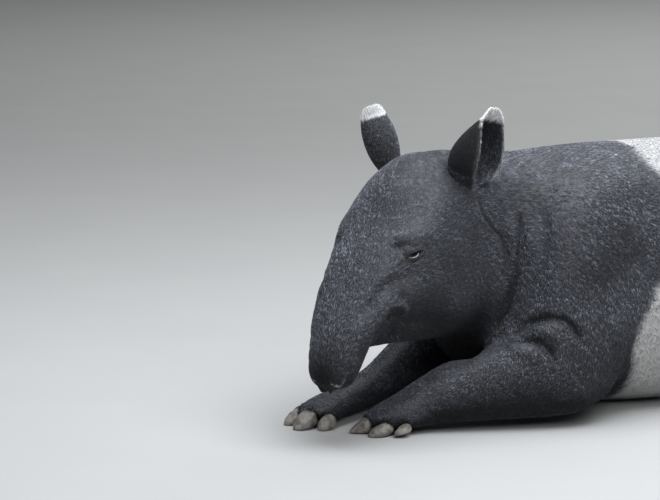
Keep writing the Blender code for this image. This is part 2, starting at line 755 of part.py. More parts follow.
def jaw_region(grow):
    """All that lies under the line of the mouth, from the lower lip back to the throat."""
    bottom = [(0.20, -0.385), (0.10, -0.395), (-0.01, -0.40)]
    outline = [(-0.01, -0.318), (0.04, -0.303), *MOUTH, *bottom]
    middle = Vector((0.13, -0.335))
    ring = []
    for f, h in outline:
        away = (Vector((f, h)) - middle).normalized()
        ring.append((f + away.x * grow * 1.6, h + away.y * grow * 1.6))
    points = [head_point(f, side * (0.125 + grow), h) for side in (1, -1) for f, h in ring]
    return mesh_object("jaw_region", points, tube_faces(2, len(ring)))


def head_details(skin, places):
    """Cuts the lids, the line of the mouth and the nostrils, and returns the eyeballs."""
    eyes = []
    for side, place in places.items():
        socket = blob(f"socket_{side}", place[0], (EYE_RADIUS + GAP,) * 3, segments=14)
        opening = lid_cutter(f"opening_{side}", place)
        boolean(skin, socket, "DIFFERENCE")
        boolean(skin, opening, "DIFFERENCE")
        remove(socket, opening)
        eyes.append(blob(f"eye_{side}", place[0], (EYE_RADIUS,) * 3, segments=14))
    mouth = mouth_cutter()
    boolean(skin, mouth, "DIFFERENCE")
    remove(mouth)
    turn = math.degrees(HEAD_YAW)
    for side, sign in SIDES.items():
        nostril = blob(f"nostril_{side}", head_point(0.346, sign * 0.021, -0.424), (0.009, 0.016, 0.014),
                       (25, sign * 25, turn), 12)
        boolean(skin, nostril, "DIFFERENCE")
        remove(nostril)
    return eyes


def part_off(skin, name, cutter_of):
    """Parts a node off the flesh. cutter_of makes the closed region it fills, larger by a margin."""
    inside, outside = cutter_of(0.0), cutter_of(GAP)
    piece = duplicate(skin, name)
    boolean(piece, inside, "INTERSECT")
    boolean(skin, outside, "DIFFERENCE")
    remove(inside, outside)
    return largest(piece)


def region(centre, half, turn=None):
    """A box-shaped region, as a function of how far it is grown."""
    turn = turn or Matrix.Identity(3)
    return lambda grow: block("region", centre, [h + grow for h in half], turn)


def oval(centre, radii, turn=(0, 0, 0)):
    """An oval region, as a function of how far it is grown."""
    return lambda grow: blob("region", centre, [r + grow for r in radii], turn, 18)


def sleeve(side):
    """A region round a forearm, from just ahead of the elbow to the wrist, as a function of how far it is grown."""
    elbow, (end, _, _) = ELBOWS[side], FEET["fore", side]
    rows = [r for r in FOREARMS[side] if 0.1 < r[0] < 0.75]
    first, last = rows[0], rows[-1]
    rows = [(0.07, *first[1:]), *rows, (0.78, *last[1:])]

    def grown(grow):
        ends = [-grow, *[0] * (len(rows) - 2), grow]
        length = (end - elbow.xy).length
        path = [Vector((*(elbow.xy + (end - elbow.xy) * (r[0] + e / length)), r[1])) for r, e in zip(rows, ends)]
        return limb("region", path, [r[2] + 0.016 + grow for r in rows], [r[3] + 0.028 + grow for r in rows], 3)

    return grown


def part_nodes(skin):
    """Parts the flesh into its nodes, outermost first."""
    facing = Matrix.Rotation(HEAD_YAW, 3, "Z")
    nodes = []
    for side, sign in SIDES.items():
        root, tip, _ = ear_axes(side, sign)
        up = (tip - root).normalized()
        turn = axes_from(head_direction(1, 0, 0), up)
        nodes.append(part_off(skin, f"ear_{side}", oval(root + up * 0.085, (0.068, 0.068, 0.115), turn)))
    nodes.append(part_off(skin, "lower_jaw", jaw_region))
    slope = facing @ Matrix.Rotation(math.radians(-14), 3, "X")
    nodes.append(part_off(skin, "proboscis", region(head_point(0.338, 0, -0.378), (0.085, 0.082, 0.068), slope)))
    nodes.append(part_off(skin, "head", region(head_point(0.195, 0, -0.1175), (0.17, 0.202, 0.2175), facing)))
    for side in SIDES:
        nodes.append(part_off(skin, f"forearm_{side}", sleeve(side)))
    *feet, skin = split(skin)
    for side in SIDES:
        end = np.array((*FEET["fore", side][0], 0.03))
        foot = min(feet, key=lambda obj: np.linalg.norm(points_of(obj) - end, axis=1).min())
        foot.name = f"forefoot_{side}"
        feet.remove(foot)
        nodes.append(foot)
    remove(*feet)
    for side, sign in SIDES.items():
        nodes.append(part_off(skin, f"upper_foreleg_{side}",
                              oval((sign * 0.245, -0.10, 0.19), (0.13, 0.17, 0.255), (12, 0, 0))))
        end, _, _ = FEET["hind", side]
        nodes.append(part_off(skin, f"hindfoot_{side}", region((end.x, end.y + 0.05, 0.04), (0.07, 0.09, 0.065))))
        nodes.append(part_off(skin, f"shank_{side}", region((sign * 0.36, 0.70, 0.03), (0.125, 0.26, 0.10))))
        nodes.append(part_off(skin, f"thigh_{side}", oval((sign * 0.30, 0.70, 0.20), (0.16, 0.29, 0.235), (-12, 0, 0))))
    nodes.append(part_off(skin, "tail", region((0, 1.145, 0.31), (0.06, 0.10, 0.10))))
    nodes.append(part_off(skin, "neck", region((0, -0.38, 0.30), (0.30, 0.20, 0.40))))
    skin.name = "torso"
    return [*nodes, largest(skin)]


def clean(obj):
    """Takes out the slivers that the cuts leave."""
    shape = bmesh.new()
    shape.from_mesh(obj.data)
    bmesh.ops.triangulate(shape, faces=shape.faces)
    bmesh.ops.dissolve_degenerate(shape, dist=SLIVER, edges=shape.edges)
    bmesh.ops.triangulate(shape, faces=shape.faces)
    shape.to_mesh(obj.data)
    shape.free()


def zones(skin):
    """The points of the face and those of the feet, as two masks."""
    points = points_of(skin)
    face = near(points, head_point(0.19, 0, -0.20), 0.23) > 0.5
    face |= near(points, head_point(0.33, 0, -0.38), 0.14) > 0.5
    feet = (points[:, 2] < 0.08) & ((points[:, 1] < -0.40) | ((np.abs(points[:, 0]) > 0.30) & (points[:, 1] < 0.62)))
    return face, feet & ~face


def set_down(objects):
    """Moves everything so that the middle of its footprint's box is at the origin."""
    points = np.vstack([points_of(obj) for obj in objects])
    low, high = points.min(axis=0), points.max(axis=0)
    shift = Vector((-(low[0] + high[0]) / 2, -(low[1] + high[1]) / 2, -low[2]))
    for obj in objects:
        obj.data.transform(Matrix.Translation(shift))


def main():
    clear_scene()
    skin = flesh()
    carve(skin)
    places = {side: eye_place(skin, side, sign) for side, sign in SIDES.items()}
    for place in places.values():
        carve_lids(skin, place)
    face, feet = zones(skin)
    thin_out(skin, ~face & ~feet, BODY_TRIANGLES)
    face, _ = zones(skin)
    thin_out(skin, face, HEAD_TRIANGLES)
    _, feet = zones(skin)
    thin_out(skin, feet, FOOT_TRIANGLES)
    floor = block("floor", (0, 0, -0.5), (2, 2, 0.5))
    boolean(skin, floor, "DIFFERENCE")
    remove(floor)
    for side, sign in SIDES.items():
        shell = ear_shell(side, sign)
        boolean(skin, shell, "UNION")
        remove(shell)
    eyes = head_details(skin, places)
    hooves = []
    for foot, (_, _, toes) in FEET.items():
        for toe in toes:
            room = hoof(foot, toe)
            swell(room, 2 * GAP)
            boolean(skin, room, "DIFFERENCE")
            remove(room)
            hooves.append(hoof(foot, toe))
    largest(skin)
    nodes = part_nodes(skin)
    for node in nodes:
        clean(node)
    set_down([*nodes, *eyes, *hooves])


main()
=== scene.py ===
"""The looks of a Malayan tapir that lies at rest with its head turned to its left, life size, in metres.

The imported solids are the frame. One skin is fused from copies of the flesh nodes, smoothed, drawn in by the
depth of the coat and sculpted with the folds of the face, neck and legs. Thin short tufts of hair, in one
piece for each part of the body, lie over it. Ears, eyes, lid rims, hooves and bristles are modelled apart.
"""

import json
import logging
import math
from collections.abc import Callable, Iterator, Sequence
from contextlib import contextmanager
from dataclasses import dataclass, field
from enum import Enum

import bpy
import numpy as np
from mathutils import Matrix, Vector
from mathutils.bvhtree import BVHTree

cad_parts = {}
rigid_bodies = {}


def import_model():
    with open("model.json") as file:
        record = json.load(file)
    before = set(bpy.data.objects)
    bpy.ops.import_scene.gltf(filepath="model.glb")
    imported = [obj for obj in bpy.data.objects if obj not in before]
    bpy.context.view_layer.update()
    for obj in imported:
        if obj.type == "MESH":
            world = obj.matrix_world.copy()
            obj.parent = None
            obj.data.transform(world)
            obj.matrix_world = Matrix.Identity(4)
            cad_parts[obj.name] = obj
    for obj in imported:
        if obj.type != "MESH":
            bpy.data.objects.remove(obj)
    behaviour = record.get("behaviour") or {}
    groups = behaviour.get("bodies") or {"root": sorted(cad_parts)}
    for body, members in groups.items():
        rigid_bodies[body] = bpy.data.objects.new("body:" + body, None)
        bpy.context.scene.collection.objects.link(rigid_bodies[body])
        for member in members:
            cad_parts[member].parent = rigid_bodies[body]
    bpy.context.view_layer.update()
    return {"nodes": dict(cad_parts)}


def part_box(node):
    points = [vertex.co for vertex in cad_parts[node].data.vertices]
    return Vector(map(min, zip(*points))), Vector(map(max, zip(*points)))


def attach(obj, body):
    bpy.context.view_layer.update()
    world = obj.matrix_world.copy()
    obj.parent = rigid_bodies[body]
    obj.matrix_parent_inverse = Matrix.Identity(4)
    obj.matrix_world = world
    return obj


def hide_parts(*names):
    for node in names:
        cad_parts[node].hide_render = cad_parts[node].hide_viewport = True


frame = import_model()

BODY = "root"
SIDES = {"left": 1, "right": -1}
SEED = 20
WELD_GAP = 0.000002

# The share of its length over which a stroke on the skin fades in and out
STROKE_FADE = 0.3

# Where the eyes are in the directions of the head, counted from its crown
EYES_AHEAD = 0.1954
EYES_DROP = 0.1769

EYE_RADIUS = 0.018
EYE_SINK = {"left": 0.003, "right": 0.009}
LID = 0.0033
SLIT_HALF = 0.0195

FLESH_NODES = (
    "head", "proboscis", "lower_jaw", "neck", "torso", "tail",
    *(f"{part}_{side}" for side in SIDES for part in
      ("ear", "upper_foreleg", "forearm", "forefoot", "thigh", "shank", "hindfoot")),
)

log = logging.getLogger("tapir")


class Slot(Enum):
    """The record's material slots."""

    DARK = "dark_coat"
    WHITE = "white_coat"
    EYE = "eye"
    HOOF = "hoof"


# Arrays and meshes


def catmull(rows: Sequence, steps: int) -> np.ndarray:
    """Draws a smooth curve through rows of numbers.

    Args:
        rows: the stations, one to a row.
        steps: how many steps lie between neighbours.

    Returns:
        The rows of the curve.
    """
    values = np.asarray(rows, float)
    padded = np.vstack([2 * values[0] - values[1], values, 2 * values[-1] - values[-2]])
    made = []
    for i in range(1, len(padded) - 2):
        before, start, end, after = padded[i - 1 : i + 3]
        for step in range(steps):
            t = step / steps
            square = (2 * before - 5 * start + 4 * end - after) * t**2
            cube = (3 * start - before - 3 * end + after) * t**3
            made.append(0.5 * (2 * start + (end - before) * t + square + cube))
    made.append(padded[-2])
    return np.array(made)


def unit(rows: np.ndarray) -> np.ndarray:
    """Scales each row to length one."""
    return rows / np.maximum(np.linalg.norm(rows, axis=-1, keepdims=True), 1e-9)


def ramp(values: np.ndarray, low: float, high: float) -> np.ndarray:
    """Rises smoothly from 0 at low to 1 at high."""
    t = np.clip((values - low) / (high - low), 0, 1)
    return t * t * (3 - 2 * t)


def waves(points: np.ndarray, size: float, seed: int) -> np.ndarray:
    """Adds up seeded plane waves into a smooth noise.

    Args:
        points: where the noise is read.
        size: the rough width of its blotches, in metres.
        seed: which noise it is.

    Returns:
        One value a point, mostly between -1 and 1.
    """
    draw = np.random.default_rng(seed)
    total = np.zeros(len(points))
    for _ in range(10):
        way = unit(draw.normal(size=(1, 3)))[0] * (2 * math.pi / size) * draw.uniform(0.6, 1.5)
        total += np.sin(points @ way + draw.uniform(0, 2 * math.pi))
    return total / 3.2


def near(points: np.ndarray, centre: Sequence[float], radius: float) -> np.ndarray:
    """Is 1 at the centre and falls smoothly towards 0 past the radius."""
    away = np.linalg.norm(points - np.asarray(centre, float), axis=1)
    return np.exp(-((away / radius) ** 2))


def follow(points: np.ndarray, path: Sequence) -> tuple[np.ndarray, np.ndarray]:
    """Measures how far each point is from a polyline, and the share of its length where it is nearest."""
    stations = np.asarray([tuple(p) for p in path], float)
    lengths = np.linalg.norm(np.diff(stations, axis=0), axis=1)
    best, shares, passed = np.full(len(points), 1e9), np.zeros(len(points)), 0.0
    for start, end, length in zip(stations[:-1], stations[1:], lengths):
        along = end - start
        share = np.clip((points - start) @ along / max(along @ along, 1e-12), 0, 1)
        away = np.linalg.norm(points - start - share[:, None] * along, axis=1)
        shares = np.where(away < best, (passed + share * length) / lengths.sum(), shares)
        best = np.minimum(best, away)
        passed += length
    return best, shares


def path_distance(points: np.ndarray, path: Sequence) -> np.ndarray:
    """Measures how far each point is from a polyline."""
    return follow(points, path)[0]


def falloff(points: np.ndarray, path: Sequence, width: float) -> np.ndarray:
    """Is 1 on a polyline and falls smoothly towards 0 past the width."""
    return np.exp(-((path_distance(points, path) / width) ** 2))


def points_of(obj: bpy.types.Object) -> np.ndarray:
    """Reads the places of an object's vertices."""
    flat = np.empty(len(obj.data.vertices) * 3, np.float32)
    obj.data.vertices.foreach_get("co", flat)
    return flat.reshape(-1, 3).astype(float)


def normals_of(obj: bpy.types.Object) -> np.ndarray:
    """Reads the normals of an object's vertices."""
    flat = np.empty(len(obj.data.vertices) * 3, np.float32)
    obj.data.vertex_normals.foreach_get("vector", flat)
    return flat.reshape(-1, 3).astype(float)


def set_points(obj: bpy.types.Object, points: np.ndarray) -> None:
    """Writes the places of an object's vertices."""
    obj.data.vertices.foreach_set("co", points.astype(np.float32).ravel())
    obj.data.update()


def triangle_count(obj: bpy.types.Object) -> int:
    """Counts the triangles of a mesh."""
    obj.data.calc_loop_triangles()
    return len(obj.data.loop_triangles)


def select_only(*objects: bpy.types.Object) -> None:
    """Selects these objects and makes the first one active."""
    bpy.ops.object.select_all(action="DESELECT")
    for obj in objects:
        obj.select_set(True)
    bpy.context.view_layer.objects.active = objects[0]


def select_vertices(obj: bpy.types.Object, mask: np.ndarray) -> None:
    """Selects these vertices of a mesh and nothing else of it."""
    select_only(obj)
    bpy.context.tool_settings.mesh_select_mode = (True, False, False)
    obj.data.polygons.foreach_set("select", np.zeros(len(obj.data.polygons), bool))
    obj.data.edges.foreach_set("select", np.zeros(len(obj.data.edges), bool))
    obj.data.vertices.foreach_set("select", mask)


@contextmanager
def editing(obj: bpy.types.Object, everything: bool = True) -> Iterator[None]:
    """Opens a mesh in edit mode, with all of it selected or with what was selected before."""
    select_only(obj)
    bpy.ops.object.mode_set(mode="EDIT")
    if everything:
        bpy.ops.mesh.select_all(action="SELECT")
    yield
    bpy.ops.object.mode_set(mode="OBJECT")


def link(name: str, data: bpy.types.ID) -> bpy.types.Object:
    """Puts a mesh, curve, light or camera into the scene as a new object."""
    obj = bpy.data.objects.new(name, data)
    bpy.context.scene.collection.objects.link(obj)
    return obj


def apply_modifier(obj: bpy.types.Object, kind: str, **settings: object) -> None:
    """Adds one modifier and applies it.

    Args:
        obj: the object, which ends up selected.
        kind: the modifier's type.
        settings: its values by name.
    """
    select_only(obj)
    modifier = obj.modifiers.new(kind.lower(), kind)
    for name, value in settings.items():
        setattr(modifier, name, value)
    bpy.ops.object.modifier_apply(modifier=modifier.name)


def smooth(obj: bpy.types.Object, weights: np.ndarray, rounds: int) -> None:
    """Relaxes the mesh where the weights are above 0."""
    points = points_of(obj)
    edges = np.empty(len(obj.data.edges) * 2, np.int32)
    obj.data.edges.foreach_get("vertices", edges)
    first, second = edges.reshape(-1, 2).T
    ends, others = np.concatenate([first, second]), np.concatenate([second, first])
    degree = np.maximum(np.bincount(ends, minlength=len(points)), 1)[:, None]
    share = 0.5 * weights[:, None]
    for _ in range(rounds):
        sums = [np.bincount(ends, points[others, axis], len(points)) for axis in range(3)]
        points += (np.stack(sums, axis=1) / degree - points) * share
    set_points(obj, points)


def stroke(obj: bpy.types.Object, path: Sequence, radius: float, height: float) -> None:
    """Raises the surface along a path, or sinks it where the height is negative.

    Args:
        obj: the mesh.
        path: the stations of the stroke.
        radius: its half width.
        height: how far the surface moves along its normals in the middle of the stroke.
    """
    points = points_of(obj)
    stations = np.array([tuple(p) for p in path])
    low, high = stations.min(axis=0) - 3 * radius, stations.max(axis=0) + 3 * radius
    close = np.nonzero(((points > low) & (points < high)).all(axis=1))[0]
    away, share = follow(points[close], path)
    ends = ramp(np.minimum(share, 1 - share), -STROKE_FADE / 3, STROKE_FADE)
    lift = height * ends * np.exp(-((away / radius) ** 2))
    points[close] += normals_of(obj)[close] * lift[:, None]
    set_points(obj, points)


def boolean(obj: bpy.types.Object, other: bpy.types.Object, operation: str) -> None:
    """Joins or cuts a mesh with another one, which is then removed."""
    apply_modifier(obj, "BOOLEAN", object=other, operation=operation, solver="MANIFOLD")
    bpy.data.objects.remove(other)


def refine(obj: bpy.types.Object, mask: np.ndarray) -> None:
    """Divides the faces whose corners are all in the mask, and rounds them off.

    Args:
        obj: the mesh.
        mask: one truth value a vertex.
    """
    select_vertices(obj, mask)
    with editing(obj, everything=False):
        bpy.ops.mesh.select_mode(type="VERT")
        bpy.ops.mesh.subdivide(number_cuts=1, smoothness=0.8, ngon=False, quadcorner="INNERVERT")


def weld(obj: bpy.types.Object) -> None:
    """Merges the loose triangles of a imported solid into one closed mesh."""
    with editing(obj):
        bpy.ops.mesh.remove_doubles(threshold=WELD_GAP)


def copy_of(node: str) -> bpy.types.Object:
    """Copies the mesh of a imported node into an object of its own, welded shut."""
    obj = link(f"{node}_copy", frame["nodes"][node].data.copy())
    obj.data.materials.clear()
    weld(obj)
    return obj


def middle(node: str) -> Vector:
    """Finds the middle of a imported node's box."""
    low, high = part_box(node)
    return (low + high) / 2


def attribute(obj: bpy.types.Object, name: str, values: np.ndarray) -> None:
    """Writes one number a vertex under a name that the materials read."""
    layer = obj.data.attributes.get(name) or obj.data.attributes.new(name, "FLOAT", "POINT")
    layer.data.foreach_set("value", values.astype(np.float32))


def wear(obj: bpy.types.Object, material: bpy.types.Material) -> None:
    """Gives a piece its finish and lets it ride on the body."""
    obj.data.materials.clear()
    obj.data.materials.append(material)
    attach(obj, BODY)


# The directions of the head


@dataclass(frozen=True)
class HeadFrame:
    """The crown of the head, and the directions ahead of it and to its left."""

    crown: Vector
    ahead: Vector
    left: Vector

    @classmethod
    def from_eyes(cls) -> "HeadFrame":
        """Works the head's place and turn out from the two eyes of the frame."""
        left_eye, right_eye = middle("eye_left"), middle("eye_right")
        left = (left_eye - right_eye).normalized()
        left.z = 0
        left.normalize()
        ahead = Vector((left.y, -left.x, 0))
        between = (left_eye + right_eye) / 2
        return cls(between - ahead * EYES_AHEAD + Vector((0, 0, EYES_DROP)), ahead, left)

    def point(self, forward: float, left: float, height: float) -> Vector:
        """Places a point ahead of, to the left of and above the crown."""
        return self.crown + self.ahead * forward + self.left * left + Vector((0, 0, height))

    def way(self, forward: float, left: float, height: float) -> Vector:
        """Turns a direction of the head into one of the model."""
        return self.ahead * forward + self.left * left + Vector((0, 0, height))

    def local(self, points: np.ndarray) -> np.ndarray:
        """Reads how far ahead, left and high each point is from the crown."""
        away = points - np.array(self.crown)
        return np.stack([away @ np.array(self.ahead), away @ np.array(self.left), away[:, 2]], axis=1)


HEAD = HeadFrame.from_eyes()


# Markings, shared by the skin and the coat


@dataclass(frozen=True)
class Markings:
    """Where the coat is white, and where painted shade, with a little of the coat's own deeper black, darkens
    it.
    """

    # How far back the saddle's front edge is at each height of the flank
    front_heights: tuple = (
        0.0, 0.073, 0.137, 0.183, 0.214, 0.24, 0.30, 0.37, 0.43, 0.475, 0.495, 0.508, 0.516,
    )
    front_edge: tuple = (
        -0.19, -0.202, -0.227, -0.22, -0.20, -0.182, -0.12, -0.07, -0.08, -0.118, -0.122, -0.112, -0.10,
    )
    # How high the black of the hind leg reaches at each distance back
    leg_stations: tuple = (0.16, 0.24, 0.36, 0.50, 0.64, 0.76, 0.86)
    leg_edge: tuple = (0.02, 0.15, 0.225, 0.25, 0.245, 0.21, 0.17)
    edge: float = 0.016
    wobble: float = 0.006
    # The crust round the nostril and the pale ridge above it, in the directions of the head
    crust: tuple = ((0.354, 0.021, -0.4045), (0.348, 0.0255, -0.408), (0.344, 0.028, -0.410))
    ridge: tuple = ((0.344, 0.028, -0.409), (0.343, 0.035, -0.402), (0.340, 0.042, -0.390))
    # Place in the directions of the head, radius and amount of each patch of painted shade: hollows by eye,
    # mouth and ear, undersides of jaw and trunk, and lit spots such as the forehead and the lip's ridge
    # darkened; before the ears it is partly the coat's own deeper black
    shade_spots: tuple = (
        (0.219, 0.070, -0.154, 0.016, 0.75), (0.247, 0.068, -0.290, 0.014, 1.0),
        (0.268, 0.062, -0.316, 0.020, 0.9), (0.285, 0.045, -0.345, 0.026, 0.8),
        (0.082, 0.116, -0.052, 0.026, 0.85), (0.060, 0.124, -0.080, 0.024, 0.6),
        (0.235, 0.082, -0.219, 0.014, 0.45), (0.375, 0.000, -0.400, 0.075, 1.0),
        (0.240, 0.092, -0.235, 0.030, 0.6), (0.120, 0.125, -0.225, 0.075, 0.5),
        (0.030, 0.000, 0.000, 0.060, 0.52), (0.025, 0.060, -0.025, 0.045, 0.52),
        (-0.060, 0.140, -0.080, 0.055, 0.42), (0.345, 0.030, -0.330, 0.060, 0.40),
        (0.283, 0.060, -0.256, 0.013, 0.5), (0.205, 0.049, -0.330, 0.030, 0.9),
        (0.177, 0.055, -0.335, 0.034, 0.9), (0.137, 0.058, -0.345, 0.045, 0.9),
        (0.140, 0.087, -0.300, 0.045, 0.5), (0.112, 0.114, -0.265, 0.055, 0.4),
        (0.030, 0.105, -0.310, 0.060, 0.7), (0.205, 0.096, -0.170, 0.026, 0.4),
        (0.345, 0.010, -0.425, 0.030, 0.6),
    )
    # Three light scratches on the withers in one line, and two flecks with their radius
    scar: tuple = ((0.062, -0.182, 0.507), (0.078, -0.176, 0.505), (0.092, -0.172, 0.501))
    flecks: tuple = (((0.247, -0.242, 0.337), 0.004), ((0.253, -0.354, 0.331), 0.003))
    # How far the whole face is darkened, partly painted shade and partly its darker coat
    face_shade: float = 0.12

    def white(self, points: np.ndarray) -> np.ndarray:
        """Says how white the coat is at each point, from 0 to 1."""
        ragged = waves(points, 0.11, 3) * self.wobble + waves(points, 0.03, 4) * self.wobble * 0.4
        x, y, z = points.T
        front = y - np.interp(z, self.front_heights, self.front_edge) + ragged
        leg = z - np.interp(y, self.leg_stations, self.leg_edge) + ragged
        flank = np.abs(x) > 0.5 * ramp(-y, -0.84, -0.5) * 0.38
        leg = np.where(flank | (y > 0.6), leg, 1.0)
        saddle = ramp(front, -self.edge, self.edge) * ramp(leg, -self.edge, self.edge)
        head = HEAD.local(points)[:, 0] > 0.10
        return np.where(head | (y < -0.3), 0.0, saddle)

    def spots(self, points: np.ndarray) -> np.ndarray:
        """Marks the small white scars and flecks of the shoulder and the crust of the nostril, and paints
        highlights along the jaw's edge and the corner of the mouth.
        """
        total = falloff(points, self.scar, 0.0035)
        for centre, radius in self.flecks:
            total = np.maximum(total, near(points, centre, radius))
        ragged = ramp(waves(points, 0.006, 9), -0.6, 0.4)
        for side in SIDES.values():
            folds = face_paths(side)
            crust, ridge = (
                [HEAD.point(f, side * l, h) for f, l, h in path] for path in (self.crust, self.ridge)
            )
            # The jaw's edge and the mouth's corner get painted highlights, where their ridges catch the light
            for path, width, amount in (
                (folds["jaw_edge"][:4], 0.0028, 0.16), (folds["corner"], 0.0035, 0.07),
                (crust, 0.0030, 0.85 * ragged), (ridge, 0.0040, 0.22 * ragged),
            ):
                total = np.maximum(total, amount * falloff(points, path, width))
        return total

    def shade(self, points: np.ndarray) -> np.ndarray:
        """Says how far painted shade darkens the coat at each point, from 0 to 1, with a little of the coat's
        own deeper black.
        """
        total = np.zeros(len(points))
        for side in SIDES.values():
            for f, l, h, radius, amount in self.shade_spots:
                total = np.maximum(total, amount * near(points, HEAD.point(f, side * l, h), radius))
            folds = face_paths(side)
            # Painted shade along the creases of neck, jaw, elbow and knuckles
            for path, width, amount in (
                (folds["neck_a"], 0.0060, 0.9), (folds["jaw"], 0.0065, 0.8),
                ([(side * x, y, z) for x, y, z in ELBOW_FOLD], 0.0070, 0.9),
                ([(side * x, y, z) for x, y, z in KNUCKLE_FOLD], 0.0060, 0.9),
            ):
                total = np.maximum(total, amount * falloff(points, path, width))
        # Painted shade over the whole face
        face = ramp(HEAD.local(points)[:, 0], -0.03, 0.06) * ramp(points[:, 2], 0.10, 0.14)
        return np.maximum(total, self.face_shade * face)


# Where the skin folds over the bent foreleg
ELBOW_FOLD = (
    (0.180, -0.462, 0.185), (0.188, -0.455, 0.193), (0.207, -0.442, 0.207), (0.236, -0.426, 0.216),
    (0.255, -0.399, 0.2105), (0.255, -0.371, 0.186), (0.258, -0.360, 0.165),
)
KNUCKLE_FOLD = (
    (0.187, -0.480, 0.170), (0.217, -0.449, 0.171), (0.243, -0.430, 0.157), (0.252, -0.422, 0.135),
    (0.254, -0.422, 0.118),
)
# The hollow behind the shoulder, darkened with painted shadow
ARMPIT_SHADOW = ((0.256, -0.335, 0.285), (0.254, -0.2885, 0.312), (0.243, -0.2515, 0.341))
MARKINGS = Markings()


# Finishes


def output_socket(group: bpy.types.ShaderNodeTree, name: str, kind: str) -> None:
    """Adds an output to a node group."""
    group.interface.new_socket(name=name, in_out="OUTPUT", socket_type=kind)


def input_socket(group: bpy.types.ShaderNodeTree, name: str, kind: str, value: object) -> None:
    """Adds an input with its value to a node group."""
    socket = group.interface.new_socket(name=name, in_out="INPUT", socket_type=kind)
    socket.default_value = value


class NodeTree:
    """A short hand for placing and wiring shader nodes."""

    def __init__(self, tree: bpy.types.NodeTree) -> None:
        self.tree = tree

    def add(self, kind: str, **settings: object) -> bpy.types.Node:
        """Places a node and sets its own values."""
        node = self.tree.nodes.new(kind)
        for name, value in settings.items():
            setattr(node, name, value)
        return node

    def wire(self, source: bpy.types.NodeSocket, target: bpy.types.NodeSocket) -> None:
        """Joins an output to an input."""
        self.tree.links.new(source, target)

    def feed(self, socket: bpy.types.NodeSocket, value: object) -> None:
        """Gives an input an output to read, or a value of its own."""
        if isinstance(value, bpy.types.NodeSocket):
            self.wire(value, socket)
        else:
            socket.default_value = value

    def math(
        self, operation: str, first: object, second: object = 0.0, clamp: bool = False,
    ) -> bpy.types.NodeSocket:
        """Places a Math node, whose inputs are sockets or numbers, and returns its output."""
        node = self.add("ShaderNodeMath", operation=operation, use_clamp=clamp)
        for socket, value in zip(node.inputs, (first, second)):
            self.feed(socket, value)
        return node.outputs[0]

    def mix(self, share: object, first: object, second: object) -> bpy.types.NodeSocket:
        """Places a colour Mix node and returns its output."""
        node = self.add("ShaderNodeMix", data_type="RGBA")
        for number, value in ((0, share), (6, first), (7, second)):
            self.feed(node.inputs[number], value)
        return node.outputs[2]

    def noise(self, scale: float, detail: float, vector: bpy.types.NodeSocket) -> bpy.types.NodeSocket:
        """Places a Noise node and returns its value."""
        node = self.add("ShaderNodeTexNoise")
        node.inputs["Scale"].default_value = scale
        node.inputs["Detail"].default_value = detail
        self.wire(vector, node.inputs["Vector"])
        return node.outputs[0]

    def bump(self, height: bpy.types.NodeSocket, strength: float, depth: float) -> bpy.types.NodeSocket:
        """Places a Bump node over a height and returns its normal."""
        node = self.add("ShaderNodeBump")
        node.inputs["Strength"].default_value = strength
        node.inputs["Distance"].default_value = depth
        self.wire(height, node.inputs["Height"])
        return node.outputs["Normal"]


def new_material(name: str) -> tuple[bpy.types.Material, NodeTree, bpy.types.Node]:
    """Starts a material, and returns it with its tree and its shader."""
    material = bpy.data.materials.new(name)
    material.use_nodes = True
    nodes = NodeTree(material.node_tree)
    return material, nodes, material.node_tree.nodes["Principled BSDF"]


class FleckGroup:
    """The node group that mixes dark and light hairs, for every finish of the coat. The light hairs are
    partly painted glints of sky light.
    """

    name = "Hair flecks"

    def __init__(self) -> None:
        group = bpy.data.node_groups.new(self.name, "ShaderNodeTree")
        input_socket(group, "Dark", "NodeSocketColor", (0.02, 0.02, 0.022, 1))
        input_socket(group, "Light", "NodeSocketColor", (0.12, 0.12, 0.13, 1))
        input_socket(group, "Share", "NodeSocketFloat", 0.5)
        input_socket(group, "Tone and shade", "NodeSocketFloat", 0.5)
        output_socket(group, "Color", "NodeSocketColor")
        output_socket(group, "Height", "NodeSocketFloat")
        nodes = NodeTree(group)
        given = nodes.add("NodeGroupInput").outputs
        made = nodes.add("NodeGroupOutput").inputs
        place = nodes.add("ShaderNodeTexCoord").outputs["Object"]
        grain = nodes.noise(420.0, 2.0, place)
        patch = nodes.noise(9.0, 3.0, place)
        sharp = nodes.math("MULTIPLY", nodes.math("SUBTRACT", grain, 0.45), 1.5, clamp=True)
        lit = nodes.math("MULTIPLY", nodes.math("ADD", sharp, given["Tone and shade"]), given["Share"])
        soft = nodes.math("MULTIPLY", lit, nodes.math("ADD", patch, 0.5))
        share = nodes.math("MINIMUM", soft, 1.0)
        nodes.wire(nodes.mix(share, given["Dark"], given["Light"]), made["Color"])
        nodes.wire(grain, made["Height"])
        self.group = group


